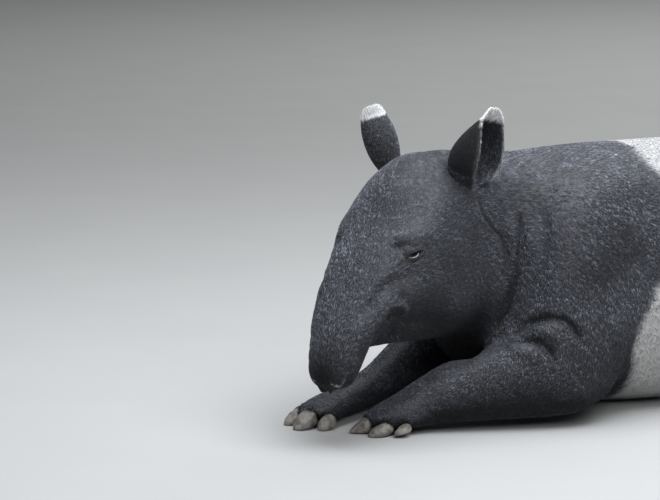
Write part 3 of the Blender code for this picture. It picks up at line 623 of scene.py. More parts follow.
@dataclass(frozen=True)
class CoatFinish:
    """Short flat hair: black flecked with grey, and greyish white, told apart by the markings, with painted
    shade and painted glints laid into its colours.
    """

    name: str
    dark: tuple = (0.012, 0.0125, 0.0135, 1)
    # Grey hairs, made lighter and bluer to paint glints of sky light on the coat
    grey: tuple = (0.345, 0.362, 0.442, 1)
    # The near black that painted shade pulls the coat towards, which in a few places is also the coat's own
    # deepest black
    shade_black: tuple = (0.004, 0.0037, 0.0037, 1)
    # A shaded copy of the white, for painted shade on the white's lower sides
    shaded_white: tuple = (0.40, 0.40, 0.39, 1)
    white: tuple = (0.86, 0.86, 0.86, 1)
    fleck_share: float = 0.66
    roughness: float = 0.48
    sheen: float = 0.10
    sheen_roughness: float = 0.45
    sheen_tint: tuple = (0.80, 0.87, 1.0, 1)
    bump: float = 0.35
    bump_depth: float = 0.0012
    gloss: float = 0.40

    def make(self, flecks: FleckGroup) -> bpy.types.Material:
        """Builds the material.

        Args:
            flecks: the group that mixes dark and light hairs.

        Returns:
            The finished material.
        """
        material, nodes, shader = new_material(self.name)
        read = {
            name: nodes.add("ShaderNodeAttribute", attribute_name=name).outputs["Fac"]
            for name in ("pale", "shade", "tone_and_shade")
        }
        dark, pale = (nodes.add("ShaderNodeGroup", node_tree=flecks.group) for _ in range(2))
        # The pale hairs mix the shaded and the lit white by the tone, which holds painted shade
        for group, colours in ((dark, (self.dark, self.grey)), (pale, (self.shaded_white, self.white))):
            group.inputs["Dark"].default_value, group.inputs["Light"].default_value = colours
            nodes.wire(read["tone_and_shade"], group.inputs["Tone and shade"])
        dark.inputs["Share"].default_value = self.fleck_share
        pale.inputs["Share"].default_value = 1.0
        # Painted shade: the shade attribute pulls the flecked black towards its darkest
        black = nodes.mix(read["shade"], dark.outputs["Color"], self.shade_black)
        colour = nodes.mix(read["pale"], black, pale.outputs["Color"])
        nodes.wire(colour, shader.inputs["Base Color"])
        dull = nodes.math("MULTIPLY", read["shade"], 1.0 - self.roughness)
        nodes.wire(nodes.math("ADD", dull, self.roughness), shader.inputs["Roughness"])
        shader.inputs["Specular IOR Level"].default_value = self.gloss
        normal = nodes.bump(dark.outputs["Height"], self.bump, self.bump_depth)
        nodes.wire(normal, shader.inputs["Normal"])
        shader.inputs["Sheen Weight"].default_value = self.sheen
        shader.inputs["Sheen Roughness"].default_value = self.sheen_roughness
        shader.inputs["Sheen Tint"].default_value = self.sheen_tint
        return material


@dataclass(frozen=True)
class HornFinish:
    """Dull grey-brown horn with faint growth lines."""

    name: str = "Hoof horn"
    pale: tuple = (0.31, 0.29, 0.255, 1)
    dark: tuple = (0.13, 0.12, 0.10, 1)
    roughness: float = 0.5
    stain: float = 70.0
    grain: float = 500.0
    bump: float = 0.3
    bump_depth: float = 0.001

    def make(self) -> bpy.types.Material:
        """Builds the material."""
        material, nodes, shader = new_material(self.name)
        place = nodes.add("ShaderNodeTexCoord").outputs["Object"]
        cloud = nodes.math("SUBTRACT", nodes.noise(self.stain, 4.0, place), 0.44)
        stain = nodes.math("MULTIPLY", cloud, 5.0, clamp=True)
        nodes.wire(nodes.mix(stain, self.pale, self.dark), shader.inputs["Base Color"])
        normal = nodes.bump(nodes.noise(self.grain, 3.0, place), self.bump, self.bump_depth)
        nodes.wire(normal, shader.inputs["Normal"])
        shader.inputs["Roughness"].default_value = self.roughness
        return material


@dataclass(frozen=True)
class EyeFinish:
    """A wet dark brown eye with a black pupil."""

    name: str = "Wet eye"
    white: tuple = (0.10, 0.08, 0.07, 1)
    iris: tuple = (0.030, 0.016, 0.010, 1)
    pupil: tuple = (0.004, 0.004, 0.004, 1)

    def make(self) -> bpy.types.Material:
        """Builds the material, which reads how far each point is from the line of sight."""
        material, nodes, shader = new_material(self.name)
        gaze = nodes.add("ShaderNodeAttribute", attribute_name="gaze").outputs["Fac"]
        iris = nodes.math("MULTIPLY", nodes.math("SUBTRACT", gaze, 0.40), 12.0, clamp=True)
        pupil = nodes.math("MULTIPLY", nodes.math("SUBTRACT", gaze, 0.93), 60.0, clamp=True)
        colour = nodes.mix(pupil, nodes.mix(iris, self.white, self.iris), self.pupil)
        nodes.wire(colour, shader.inputs["Base Color"])
        shader.inputs["Roughness"].default_value = 0.06
        shader.inputs["Specular IOR Level"].default_value = 0.25
        shader.inputs["Coat Weight"].default_value = 0.35
        shader.inputs["Coat Roughness"].default_value = 0.02
        return material


@dataclass(frozen=True)
class PlainFinish:
    """A finish of one colour with a soft mottle."""

    name: str
    colour: tuple
    second: tuple
    roughness: float
    scale: float = 60.0

    def make(self) -> bpy.types.Material:
        """Builds the material."""
        material, nodes, shader = new_material(self.name)
        place = nodes.add("ShaderNodeTexCoord").outputs["Object"]
        mottle = nodes.noise(self.scale, 3.0, place)
        nodes.wire(nodes.mix(mottle, self.colour, self.second), shader.inputs["Base Color"])
        shader.inputs["Roughness"].default_value = self.roughness
        return material


# The eyes


@dataclass
class EyePlace:
    """The centre of an eyeball, the way that it looks, and the line and height of its slit."""

    centre: Vector
    look: Vector
    slit: Vector
    up: Vector

    @classmethod
    def of(cls, side: str, sign: int) -> "EyePlace":
        """Reads the eyeball from the frame and turns it to look out of the skin."""
        centre = middle(f"eye_{side}")
        look = HEAD.way(0.40, sign * 0.90, 0.17).normalized()
        centre -= look * EYE_SINK[side]
        slit = HEAD.way(-0.856, sign * 0.404, 0.316)
        slit = (slit - look * slit.dot(look)).normalized()
        return cls(centre, look, slit, look.cross(slit) * sign)

    def lid(self, reach: float, rise: float, spread: float = 1.0, count: int = 12) -> list[Vector]:
        """Draws the arc of a lid's edge.

        Args:
            reach: how far out it is, as a share of the eye's radius.
            rise: how high its middle is over the line of the slit.
            spread: how much longer and higher it is than the slit.
            count: how many steps it has.

        Returns:
            The points of the arc, from the front corner to the rear one.
        """
        made = []
        for k in range(count + 1):
            t = 2 * k / count - 1
            along = self.slit * (SLIT_HALF * t * spread) + self.up * (rise * (1 - t * t) * spread)
            made.append(self.centre + self.look * (EYE_RADIUS * reach) + along)
        return made


@dataclass
class Ear:
    """A tall cup, open to the side, rolled shut round its foot and turned forward at its tip."""

    side: str
    root: tuple
    tip: tuple
    bearing: float
    turn: float
    breadth: tuple
    # How dark the ear's front is, as a base and as a share that grows as it faces ahead: partly the coat's
    # deeper black, partly painted shade
    black: tuple
    reach: float
    wall: float = 0.0040
    # Share of the length, half width, depth, degrees to the front rim and to the rear rim, sway to the rear
    rows: tuple = (
        (-0.12, 0.0260, 0.0220, 170, 170, -0.012), (0.05, 0.0340, 0.0290, 160, 160, -0.009),
        (0.12, 0.0430, 0.0400, 145, 145, -0.006), (0.20, 0.0490, 0.0470, 134, 130, -0.003),
        (0.36, 0.0520, 0.0500, 130, 122, 0.0), (0.52, 0.0480, 0.0430, 132, 116, 0.001),
        (0.66, 0.0405, 0.0340, 125, 108, 0.003), (0.78, 0.0325, 0.0235, 112, 100, 0.0052),
        (0.87, 0.0266, 0.0195, 84, 80, 0.0082), (0.935, 0.0222, 0.0185, 68, 66, 0.0092),
        (0.975, 0.0197, 0.0183, 52, 50, 0.0100), (0.995, 0.0180, 0.0180, 30, 30, 0.0105),
    )

    def __post_init__(self) -> None:
        self.sign = SIDES[self.side]
        self.foot, self.top = HEAD.point(*self.root), HEAD.point(*self.tip)
        self.length = (self.top - self.foot).length
        self.up = (self.top - self.foot).normalized()
        self.out, _ = self.axes(0.0)
        self.rearward = HEAD.way(-0.616, self.sign * 0.788, 0)

    def axes(self, share: float) -> tuple[Vector, Vector]:
        """Finds the way that the cup opens at a share of its length, and the way to its rear rim."""
        angle = math.radians(self.bearing - self.turn * max(share, 0) ** 1.3)
        out = HEAD.way(math.cos(angle), self.sign * math.sin(angle), 0)
        out = (out - self.up * out.dot(self.up)).normalized()
        return out, self.up.cross(out).normalized() * self.sign

    def spot(self, row: Sequence[float], across: float) -> Vector:
        """Places a point of the cup.

        Args:
            row: one row of the table.
            across: from -1 at the front rim to 1 at the rear rim.

        Returns:
            The point in the middle of the wall.
        """
        share, width, depth, front, rear, sway = row
        out, wide = self.axes(share)
        scale = self.breadth[0] + (self.breadth[1] - self.breadth[0]) * min(max(share, 0), 1) ** 1.8
        angle = math.radians(rear if across > 0 else front) * across
        base = self.foot + self.up * (self.length * share) + self.rearward * sway
        return base + wide * (width * scale * math.sin(angle)) - out * (depth * scale * math.cos(angle))

    def shell(self, across: int = 28, steps: int = 3) -> bpy.types.Object:
        """Bends a grid into the cup and gives it its wall.

        Args:
            across: how many faces the grid has across.
            steps: how many rows lie between two stations.

        Returns:
            The closed shell.
        """
        table = catmull(self.rows, steps)
        bpy.ops.mesh.primitive_grid_add(x_subdivisions=across, y_subdivisions=len(table) - 1, size=2)
        obj = bpy.context.object
        obj.name = f"ear_shell_{self.side}"
        places = [self.spot(table[round((y + 1) / 2 * (len(table) - 1))], x) for x, y, _ in points_of(obj)]
        set_points(obj, np.array(places))
        wall = {"thickness": self.wall, "offset": 0.0, "use_even_offset": False, "thickness_clamp": 1.0}
        apply_modifier(obj, "SOLIDIFY", **wall)
        with editing(obj):
            bpy.ops.mesh.normals_make_consistent(inside=False)
        return obj

    def height(self, points: np.ndarray) -> np.ndarray:
        """Reads each point's height over the ear's foot as a share of its length."""
        return (points - np.array(self.foot)) @ np.array(self.up) / self.length

    def zone(self, points: np.ndarray) -> np.ndarray:
        """Marks the points that belong to the ear."""
        share = self.height(points)
        away = points - np.array(self.foot) - share[:, None] * self.length * np.array(self.up)
        return (share > 0.16) & (np.linalg.norm(away, axis=1) < self.reach)

    def rims(self, steps: int = 8) -> list[list[Vector]]:
        """Draws the front and the rear rim from foot to tip."""
        table = catmull(self.rows, steps)
        return [[self.spot(row, across) for row in table] for across in (-1, 1)]

    def inside(self, points: np.ndarray, normals: np.ndarray) -> np.ndarray:
        """Marks the points on the hollow side of the cup."""
        share = np.clip(self.height(points), 0, 1)
        axis = np.array(self.foot) + (share * self.length)[:, None] * np.array(self.up)
        return self.zone(points) & (((points - axis) * normals).sum(axis=1) < 0)

    def white(self, points: np.ndarray) -> np.ndarray:
        """Marks the white tip and the pale fringe along its rear rim."""
        found = np.zeros(len(points))
        mask = self.zone(points)
        places = points[mask]
        share = self.height(places)
        cap = ramp(share + waves(places, 0.010, 6) * 0.012, 0.825, 0.855)
        front, rear = (path_distance(places, rim) for rim in self.rims())
        spot = near(places, self.spot(self.row(0.80), -1), 0.0045)
        fringe = 0.55 * np.exp(-((rear / 0.0035) ** 2)) * (1 - 0.6 * ramp(share, 0.35, 0.7))
        edge = 0.25 * np.exp(-((front / 0.003) ** 2))
        found[mask] = np.maximum.reduce([cap, spot, fringe, edge])
        return found

    def row(self, share: float) -> np.ndarray:
        """Reads the table at a share of the length."""
        table = catmull(self.rows, 8)
        return np.array([np.interp(share, table[:, 0], column) for column in table.T])


# The left ear's front is given more painted shade than the right one's
EARS = {
    "left": Ear(
        "left", root=(0.026, 0.095, -0.060), tip=(0.014, 0.138, 0.080), bearing=92, turn=22,
        breadth=(1.0, 0.89), black=(0.35, 0.6), reach=0.062,
    ),
    "right": Ear(
        "right", root=(0.018, -0.096, -0.060), tip=(0.030, -0.136, 0.070), bearing=122, turn=0,
        breadth=(0.47, 1.06), black=(0.35, 0.15), reach=0.045,
    ),
}


# The skin


# The folds and swellings on the left side of the face, in the directions of the head
FACE_PATHS = {
    "furrow": (
        (0.201, 0.102, -0.207), (0.219, 0.090, -0.213), (0.252, 0.073, -0.227), (0.272, 0.064, -0.244),
        (0.286, 0.058, -0.262), (0.304, 0.051, -0.279), (0.318, 0.045, -0.291),
    ),
    "lip": (
        (0.212, 0.102, -0.238), (0.245, 0.089, -0.240), (0.269, 0.077, -0.255), (0.286, 0.069, -0.270),
        (0.296, 0.066, -0.285), (0.306, 0.065, -0.300), (0.315, 0.059, -0.313),
    ),
    "corner": (
        (0.262, 0.085, -0.263), (0.238, 0.090, -0.265), (0.216, 0.083, -0.279), (0.203, 0.074, -0.298),
    ),
    "pit": ((0.241, 0.073, -0.284), (0.249, 0.070, -0.295)),
    "under": ((0.250, 0.070, -0.300), (0.270, 0.066, -0.316), (0.284, 0.060, -0.335)),
    "mouth": (
        (0.240, 0.074, -0.290), (0.262, 0.070, -0.308), (0.277, 0.060, -0.325), (0.283, 0.040, -0.342),
        (0.284, 0.0, -0.350),
    ),
    "brow": ((0.220, 0.082, -0.138), (0.196, 0.092, -0.130), (0.165, 0.108, -0.143)),
    "hollow": ((0.222, 0.068, -0.150), (0.219, 0.078, -0.166)),
    "tear": ((0.222, 0.088, -0.184), (0.236, 0.085, -0.200)),
    "rear": ((0.190, 0.098, -0.150), (0.179, 0.104, -0.160), (0.174, 0.108, -0.178)),
    "cheek": ((0.200, 0.100, -0.215), (0.150, 0.118, -0.235), (0.105, 0.128, -0.27)),
    "jaw_edge": (
        (0.053, 0.129, -0.058), (0.045, 0.125, -0.076), (0.039, 0.122, -0.101), (0.022, 0.126, -0.134),
        (-0.006, 0.131, -0.155), (-0.015, 0.140, -0.199), (-0.018, 0.148, -0.257),
    ),
    "jaw": (
        (0.042, 0.129, -0.058), (0.034, 0.125, -0.080), (0.024, 0.124, -0.108), (0.004, 0.128, -0.140),
        (-0.022, 0.136, -0.165), (-0.030, 0.145, -0.205), (-0.032, 0.150, -0.262), (-0.020, 0.14, -0.31),
    ),
    "temple": ((0.115, 0.105, -0.085), (0.085, 0.118, -0.12), (0.075, 0.126, -0.17)),
    "trunk_a": ((0.350, 0.040, -0.345), (0.338, 0.060, -0.352), (0.318, 0.066, -0.356)),
    "trunk_b": ((0.358, 0.036, -0.368), (0.345, 0.054, -0.376), (0.326, 0.058, -0.380)),
    "trunk_c": ((0.338, 0.048, -0.322), (0.326, 0.062, -0.330), (0.312, 0.066, -0.336)),
    "neck_a": (
        (-0.052, 0.158, -0.124), (-0.042, 0.168, -0.170), (-0.034, 0.166, -0.217), (-0.034, 0.145, -0.305),
        (-0.030, 0.120, -0.342),
    ),
    "neck_b": (
        (-0.078, 0.175, -0.095), (-0.086, 0.195, -0.150), (-0.084, 0.200, -0.22), (-0.066, 0.19, -0.31),
    ),
    "finger": ((0.348, 0.006, -0.430), (0.344, 0.012, -0.432)),
    "neck_ridge": (
        (-0.038, 0.158, -0.124), (-0.027, 0.166, -0.170), (-0.019, 0.162, -0.217), (-0.020, 0.140, -0.305),
    ),
}
# Fold, radius, height, and the share of the height that the right side has
FACE_FOLDS = (
    ("furrow", 0.012, -0.0055, 0.5), ("lip", 0.012, 0.0030, 0.5), ("corner", 0.0070, 0.0060, 1.0),
    ("pit", 0.0105, -0.0140, 1.0), ("under", 0.012, -0.0060, 1.0), ("mouth", 0.0036, -0.0042, 1.0),
    ("brow", 0.013, 0.0026, 0.5), ("hollow", 0.011, -0.0044, 1.0), ("tear", 0.006, -0.0022, 1.0),
    ("rear", 0.0035, -0.0022, 1.0), ("cheek", 0.030, 0.0030, 0.5), ("jaw_edge", 0.0080, 0.0038, 1.0),
    ("jaw", 0.0090, -0.0070, 1.0), ("temple", 0.020, -0.0030, 1.0), ("trunk_a", 0.0050, -0.0009, 1.0),
    ("trunk_b", 0.0050, -0.0009, 1.0), ("trunk_c", 0.0050, -0.0009, 1.0), ("neck_a", 0.0085, -0.0100, 1.0),
    ("neck_ridge", 0.0090, 0.0042, 1.0), ("neck_b", 0.0090, -0.0060, 1.0), ("finger", 0.010, 0.0080, 1.0),
)
# Path in the directions of the head, radius and height of the poll, the crest and the right brow
HEAD_SWELLS = (
    (((0.140, 0, -0.066), (0.085, 0, -0.034)), 0.055, 0.014),
    (((0.060, 0, -0.025), (0.0, 0, -0.015), (-0.10, 0, -0.015), (-0.18, 0, -0.015)), 0.070, 0.007),
    (((0.208, -0.076, -0.128), (0.200, -0.084, -0.140)), 0.030, -0.003),
    (((0.262, -0.060, -0.218), (0.272, -0.058, -0.230)), 0.018, 0.0035),
)
# Path on the left side, radius and height of the folds and bulges of the legs
LEG_FOLDS = (
    (((0.19, -0.488, 0.150), (0.22, -0.458, 0.148), (0.24, -0.445, 0.130)), 0.017, 0.007),
    (((0.21, -0.445, 0.189), (0.24, -0.425, 0.189), (0.254, -0.405, 0.168)), 0.011, 0.005),
    (ELBOW_FOLD, 0.0085, -0.011),
    (KNUCKLE_FOLD, 0.0075, -0.010),
    (((0.27, -0.165, 0.235), (0.272, -0.20, 0.29), (0.268, -0.235, 0.34)), 0.035, -0.010),
    (((0.19, -0.335, 0.47), (0.235, -0.28, 0.43), (0.255, -0.23, 0.36)), 0.03, 0.004),
    (((0.30, 0.24, 0.19), (0.31, 0.30, 0.14), (0.33, 0.38, 0.115), (0.345, 0.48, 0.115)), 0.013, -0.006),
    (((0.272, 0.17, 0.25), (0.285, 0.205, 0.18), (0.288, 0.235, 0.12)), 0.014, -0.005),
)
# Height over the slit, rise, reach, radius and height of each crease of the lids
LID_CREASES = (
    (0.0052, 0.0045, 1.02, 0.0030, 0.0012),
    (0.0100, 0.0055, 1.02, 0.0024, -0.0024),
    (0.0150, 0.0065, 1.00, 0.0038, 0.0020),
    (0.0200, 0.0070, 0.92, 0.0028, -0.0014),
    (-0.0030, -0.0056, 1.00, 0.0020, 0.0008),
    (-0.0075, -0.0060, 1.02, 0.0022, -0.0018),
    (-0.0120, -0.0060, 0.95, 0.0034, 0.0012),
    (-0.0165, -0.0060, 0.85, 0.0024, -0.0012),
)
UPPER_RISE, LOWER_RISE = 0.0040, -0.0056
NOSTRIL = (0.350, 0.020, -0.428)
NOSTRIL_RADII = (0.0065, 0.0125, 0.013)


def face_paths(sign: int) -> dict[str, list[Vector]]:
    """Places the folds of one side of the face.

    Args:
        sign: 1 on the left and -1 on the right.

    Returns:
        The path of each fold by its name.
    """
    return {name: [HEAD.point(f, sign * l, h) for f, l, h in path] for name, path in FACE_PATHS.items()}


@dataclass
class Skin:
    """One skin over all the flesh, drawn in from the solids by the depth of the coat."""

    voxel: float = 0.0083
    coat_depth: float = 0.0022
    relax_rounds: int = 110
    ear_cut: float = 0.012
    eyes: dict = field(default_factory=dict)
    obj: bpy.types.Object | None = None

    def gather(self) -> None:
        """Fuses copies of the flesh nodes into one closed skin."""
        copies = []
        for name in FLESH_NODES:
            copies.append(copy_of(name))
            if name.startswith("ear_"):
                self.trim(copies[-1], EARS[name.removeprefix("ear_")])
        copies += [copy_of(f"eye_{side}") for side in SIDES]
        select_only(*copies)
        bpy.ops.object.join()
        self.obj = bpy.context.object
        self.obj.name = "skin"
        self.obj.data.name = "skin"
        apply_modifier(self.obj, "REMESH", mode="VOXEL", voxel_size=self.voxel, adaptivity=0.0)
        self.keep_outer()

    def trim(self, copy: bpy.types.Object, ear: Ear) -> None:
        """Cuts the shell of an ear off its root."""
        size = 0.3
        bpy.ops.mesh.primitive_cube_add(size=size)
        cutter = bpy.context.object
        turn = Matrix((ear.out, ear.up.cross(ear.out), ear.up)).transposed().to_4x4()
        cutter.data.transform(Matrix.Translation(ear.foot + ear.up * (size / 2 + self.ear_cut)) @ turn)
        boolean(copy, cutter, "DIFFERENCE")

    def keep_outer(self) -> None:
        """Deletes the closed bubbles that fusing leaves inside."""
        points = points_of(self.obj)
        select_vertices(self.obj, np.arange(len(points)) == points[:, 1].argmax())
        with editing(self.obj, everything=False):
            bpy.ops.mesh.select_mode(type="VERT")
            bpy.ops.mesh.select_linked()
            bpy.ops.mesh.select_all(action="INVERT")
            bpy.ops.mesh.delete(type="VERT")

    def even_out(self) -> None:
        """Relaxes the facets away, most on the barrel and least on face and feet, and draws the skin in."""
        points = points_of(self.obj)
        head = HEAD.local(points)
        x, y, z = np.abs(points[:, 0]), points[:, 1], points[:, 2]
        face = ramp(head[:, 0], 0.02, 0.10) * ramp(0.28 - np.abs(head[:, 1]), 0, 0.08) * ramp(z, 0.06, 0.12)
        foot = 1 - ramp(z, 0.05, 0.11)
        limb = np.maximum(ramp(x, 0.29, 0.31), ramp(-y, 0.38, 0.44) * (1 - ramp(z, 0.20, 0.26)))
        calm = 1 - np.maximum.reduce([face * 0.97, foot * 0.97, limb * 0.88])
        smooth(self.obj, calm, self.relax_rounds)
        smooth(self.obj, np.ones(len(points)), 3)
        points = points_of(self.obj)
        set_points(self.obj, points - normals_of(self.obj) * self.coat_depth * (0.35 + 0.65 * calm)[:, None])

    def thin_barrel(self, share: float = 0.17) -> None:
        """Thins the faces of the barrel, where the skin is smooth.

        Args:
            share: how much of the barrel's own faces is kept.
        """
        points = points_of(self.obj)
        leg = (np.abs(points[:, 0]) > 0.24) & (points[:, 2] < 0.30) & (points[:, 1] > 0.10)
        rear = ramp(points[:, 1], -0.12, -0.02) * ~leg
        group = self.obj.vertex_groups.new(name="barrel")
        for step in range(1, 6):
            group.add(np.nonzero(np.round(rear * 5) == step)[0].tolist(), step / 5, "REPLACE")
        ratio = 1 - (1 - share) * float(rear.mean())
        apply_modifier(self.obj, "DECIMATE", decimate_type="COLLAPSE", ratio=ratio, vertex_group=group.name)
        self.obj.vertex_groups.clear()

    def refine_head(self) -> None:
        """Gives the head, neck and forefeet finer faces, and the eyes and mouth finer ones still."""
        points = points_of(self.obj)
        head = HEAD.local(points)
        x, y, z = np.abs(points[:, 0]), points[:, 1], points[:, 2]
        fine = (head[:, 0] > -0.055) & (z > 0.10) & (np.abs(head[:, 1]) < 0.20) & (y < -0.40)
        feet = (y < -0.62) & (z < 0.10)
        hind_feet = (x > 0.26) & (z < 0.09) & (y < 0.42) & (y > 0.2)
        elbow = (x > 0.17) & (np.abs(y + 0.425) < 0.075) & (np.abs(z - 0.175) < 0.06)
        refine(self.obj, fine | feet | hind_feet | elbow)
        smooth(self.obj, np.where(self.near_head(), 1.0, 0.0), 3)
        points = points_of(self.obj)
        close = np.zeros(len(points), bool)
        for side, sign in SIDES.items():
            close |= np.linalg.norm(points - np.array(middle(f"eye_{side}")), axis=1) < 0.050
            close |= path_distance(points, face_paths(sign)["mouth"]) < 0.020
            close |= path_distance(points, face_paths(sign)["furrow"]) < 0.018
            close |= np.linalg.norm(points - np.array(HEAD.point(0.350, sign * 0.02, -0.42)), axis=1) < 0.036
        refine(self.obj, close)

    def near_head(self) -> np.ndarray:
        """Marks the points of the head and neck."""
        points = points_of(self.obj)
        return (HEAD.local(points)[:, 0] > -0.12) & (points[:, 2] > 0.10)

    def sculpt(self) -> None:
        """Presses the folds of face, neck, trunk and legs into the skin."""
        tree = BVHTree.FromObject(self.obj, bpy.context.evaluated_depsgraph_get())

        def on_skin(path: Sequence) -> list[Vector]:
            """Moves the stations of a path onto the skin."""
            return [tree.find_nearest(Vector(p))[0] for p in catmull([tuple(p) for p in path], 4)]

        for path, radius, height in HEAD_SWELLS:
            self.swell(on_skin([HEAD.point(*spot) for spot in path]), radius, height)
        for sign in SIDES.values():
            paths = {name: on_skin(path) for name, path in face_paths(sign).items()}
            for name, radius, height, right_share in FACE_FOLDS:
                stroke(self.obj, paths[name], radius, height * (1.0 if sign > 0 else right_share))
        self.fold_legs(on_skin)

    def swell(self, path: Sequence, radius: float, height: float) -> None:
        """Swells the skin along a path, falling off evenly all round it."""
        points = points_of(self.obj)
        amount = height * falloff(points, path, radius)
        set_points(self.obj, points + normals_of(self.obj) * amount[:, None])

    def fold_legs(self, on_skin: Callable) -> None:
        """Presses the folds where the legs are bent."""
        for sign in SIDES.values():
            for path, radius, height in LEG_FOLDS:
                stroke(self.obj, on_skin([Vector((sign * x, y, z)) for x, y, z in path]), radius, height)

    def open_eyes(self) -> None:
        """Raises the lids over the eyeballs, creases them and cuts their slits."""
        for side, sign in SIDES.items():
            place = EyePlace.of(side, sign)
            self.eyes[side] = place
            self.raise_lids(place)
            self.cut_slit(place)

    def raise_lids(self, place: EyePlace) -> None:
        """Lays the skin round the eyeball as two lids with their creases."""
        points = points_of(self.obj)
        away = points - np.array(place.centre)
        distance = np.linalg.norm(away, axis=1)
        shell = EYE_RADIUS + LID
        outward = away @ np.array(place.look) > 0.2 * distance
        pull = np.where(outward, np.exp(-((np.maximum(distance - shell, 0) / 0.012) ** 2)), 0.0)
        pull *= ramp(-distance, -0.034, -0.024)
        target = np.array(place.centre) + unit(away) * shell
        set_points(self.obj, points + (target - points) * pull[:, None])
        smooth(self.obj, near(points_of(self.obj), place.centre, 0.03), 2)
        for offset, rise, reach, radius, height in LID_CREASES:
            line = [p + place.up * offset for p in place.lid(reach, rise)]
            stroke(self.obj, line, radius, height)

    def cut_slit(self, place: EyePlace) -> None:
        """Cuts the socket and the slit, and rounds the edges of the lids."""
        bpy.ops.mesh.primitive_uv_sphere_add(
            segments=40, ring_count=24, radius=EYE_RADIUS, location=place.centre,
        )
        socket = bpy.context.object
        select_only(socket)
        bpy.ops.object.transform_apply(location=True, rotation=True, scale=True)
        boolean(self.obj, socket, "DIFFERENCE")
        count = 16
        ring = []
        for reach, spread in ((0.5, 0.88), (1.9, 1.20)):
            upper = place.lid(reach, UPPER_RISE, spread, count)
            lower = place.lid(reach, LOWER_RISE, spread, count)
            ring.append(upper + lower[-2:0:-1])
        boolean(self.obj, self.plug(ring), "DIFFERENCE")
        away = np.linalg.norm(points_of(self.obj) - np.array(place.centre), axis=1)
        smooth(self.obj, ramp(-away, -0.026, -0.0215) * 0.8, 2)

    def plug(self, rings: list[list[Vector]]) -> bpy.types.Object:
        """Makes a closed solid between two rings of points."""
        size = len(rings[0])
        faces = [(k, (k + 1) % size, size + (k + 1) % size, size + k) for k in range(size)]
        faces += [tuple(range(size))[::-1], tuple(range(size, 2 * size))]
        mesh = bpy.data.meshes.new("plug")
        mesh.from_pydata([tuple(p) for ring in rings for p in ring], [], faces)
        obj = link("plug", mesh)
        with editing(obj):
            bpy.ops.mesh.normals_make_consistent(inside=False)
        return obj

    def open_nostrils(self) -> None:
        """Cuts the two nostrils at the end of the trunk."""
        for sign in SIDES.values():
            centre = HEAD.point(NOSTRIL[0], sign * NOSTRIL[1], NOSTRIL[2])
            bpy.ops.mesh.primitive_uv_sphere_add(segments=24, ring_count=14, radius=1)
            hole = bpy.context.object
            turn = Matrix((HEAD.left, -HEAD.ahead, Vector((0, 0, 1)))).transposed().to_4x4()
            for degrees, axis in ((sign * 28, "Z"), (-25, "X")):
                turn = turn @ Matrix.Rotation(math.radians(degrees), 4, axis)
            hole.data.transform(Matrix.Translation(centre) @ turn @ Matrix.Diagonal((*NOSTRIL_RADII, 1)))
            boolean(self.obj, hole, "DIFFERENCE")
            points = points_of(self.obj)
            smooth(self.obj, near(points, centre, 0.014) * 0.9, 3)

    def add_ears(self) -> None:
        """Grows the cups of the ears out of the skin and softens their roots."""
        for ear in EARS.values():
            boolean(self.obj, ear.shell(), "UNION")
            points = points_of(self.obj)
            share = ear.height(points)
            away = np.linalg.norm(points - np.array(ear.foot), axis=1)
            root = ramp(-np.abs(share - 0.12), -0.17, -0.05) * ramp(-away, -0.085, -0.06)
            smooth(self.obj, root, 6)

    def mark(self, material: bpy.types.Material) -> None:
        """Writes the markings and the painted shade, shades the skin smooth and lets it stand for the flesh
        nodes.
        """
        points = points_of(self.obj)
        attribute(self.obj, "pale", pale_at(points))
        attribute(self.obj, "shade", shade_at(points, normals_of(self.obj)))
        attribute(self.obj, "tone_and_shade", np.zeros(len(points)))
        self.obj.data.polygons.foreach_set("use_smooth", np.ones(len(self.obj.data.polygons), bool))
        wear(self.obj, material)
        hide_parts(*FLESH_NODES)

    def build(self, material: bpy.types.Material) -> None:
        """Makes the whole skin.

        Args:
            material: its finish.
        """
        self.gather()
        log.info("skin fused: %d triangles", triangle_count(self.obj))
        self.even_out()
        self.thin_barrel()
        self.refine_head()
        log.info("skin refined: %d triangles", triangle_count(self.obj))
        self.sculpt()
        self.open_eyes()
        self.open_nostrils()
        self.add_ears()
        self.mark(material)
        log.info("skin: %d triangles", triangle_count(self.obj))


def pale_at(points: np.ndarray) -> np.ndarray:
    """Says how white the hair is at each point, painted highlights on the jaw's edge and the mouth's corner
    included.
    """
    white = np.maximum(MARKINGS.white(points), MARKINGS.spots(points))
    for ear in EARS.values():
        white = np.maximum(white, ear.white(points))
    return white


def shade_at(points: np.ndarray, normals: np.ndarray) -> np.ndarray:
    """Says how far painted shade darkens the hair at each point, with a little of the coat's own deeper
    black.

    Args:
        points: the roots of the hair.
        normals: the skin's normals there.

    Returns:
        One value a point, from 0 to 1.
    """
    # Painted shade on sides that face down, reaching further up the sides low on the body
    low = ramp(-points[:, 2], -0.26, -0.14)
    under = 0.9 * ramp(-normals[:, 2], -0.15 - 0.30 * low, 0.80 - 0.35 * low)
    mirrored = points * np.where(points[:, :1] < 0, (-1, 1, 1), (1, 1, 1))
    # Painted shadow in the hollow behind the shoulder
    armpit_shadow = 0.62 * falloff(mirrored, ARMPIT_SHADOW, 0.045)
    total = np.maximum.reduce([MARKINGS.shade(points), under, armpit_shadow])
    for ear in EARS.values():
        share = ear.height(points)
        # Inside each ear's cup painted shade, deeper towards the tip; on the ear's front partly its deeper
        # black and partly painted shade, as it faces ahead
        hollow = 0.25 * ramp(share, 0.30, 0.62)
        front = ear.black[0] + ear.black[1] * ramp(normals @ np.array(HEAD.ahead), -0.3, 0.35)
        dark = np.where(ear.inside(points, normals), hollow, front)
        total = np.maximum(total, np.where(ear.zone(points), dark, 0.0))
    return total


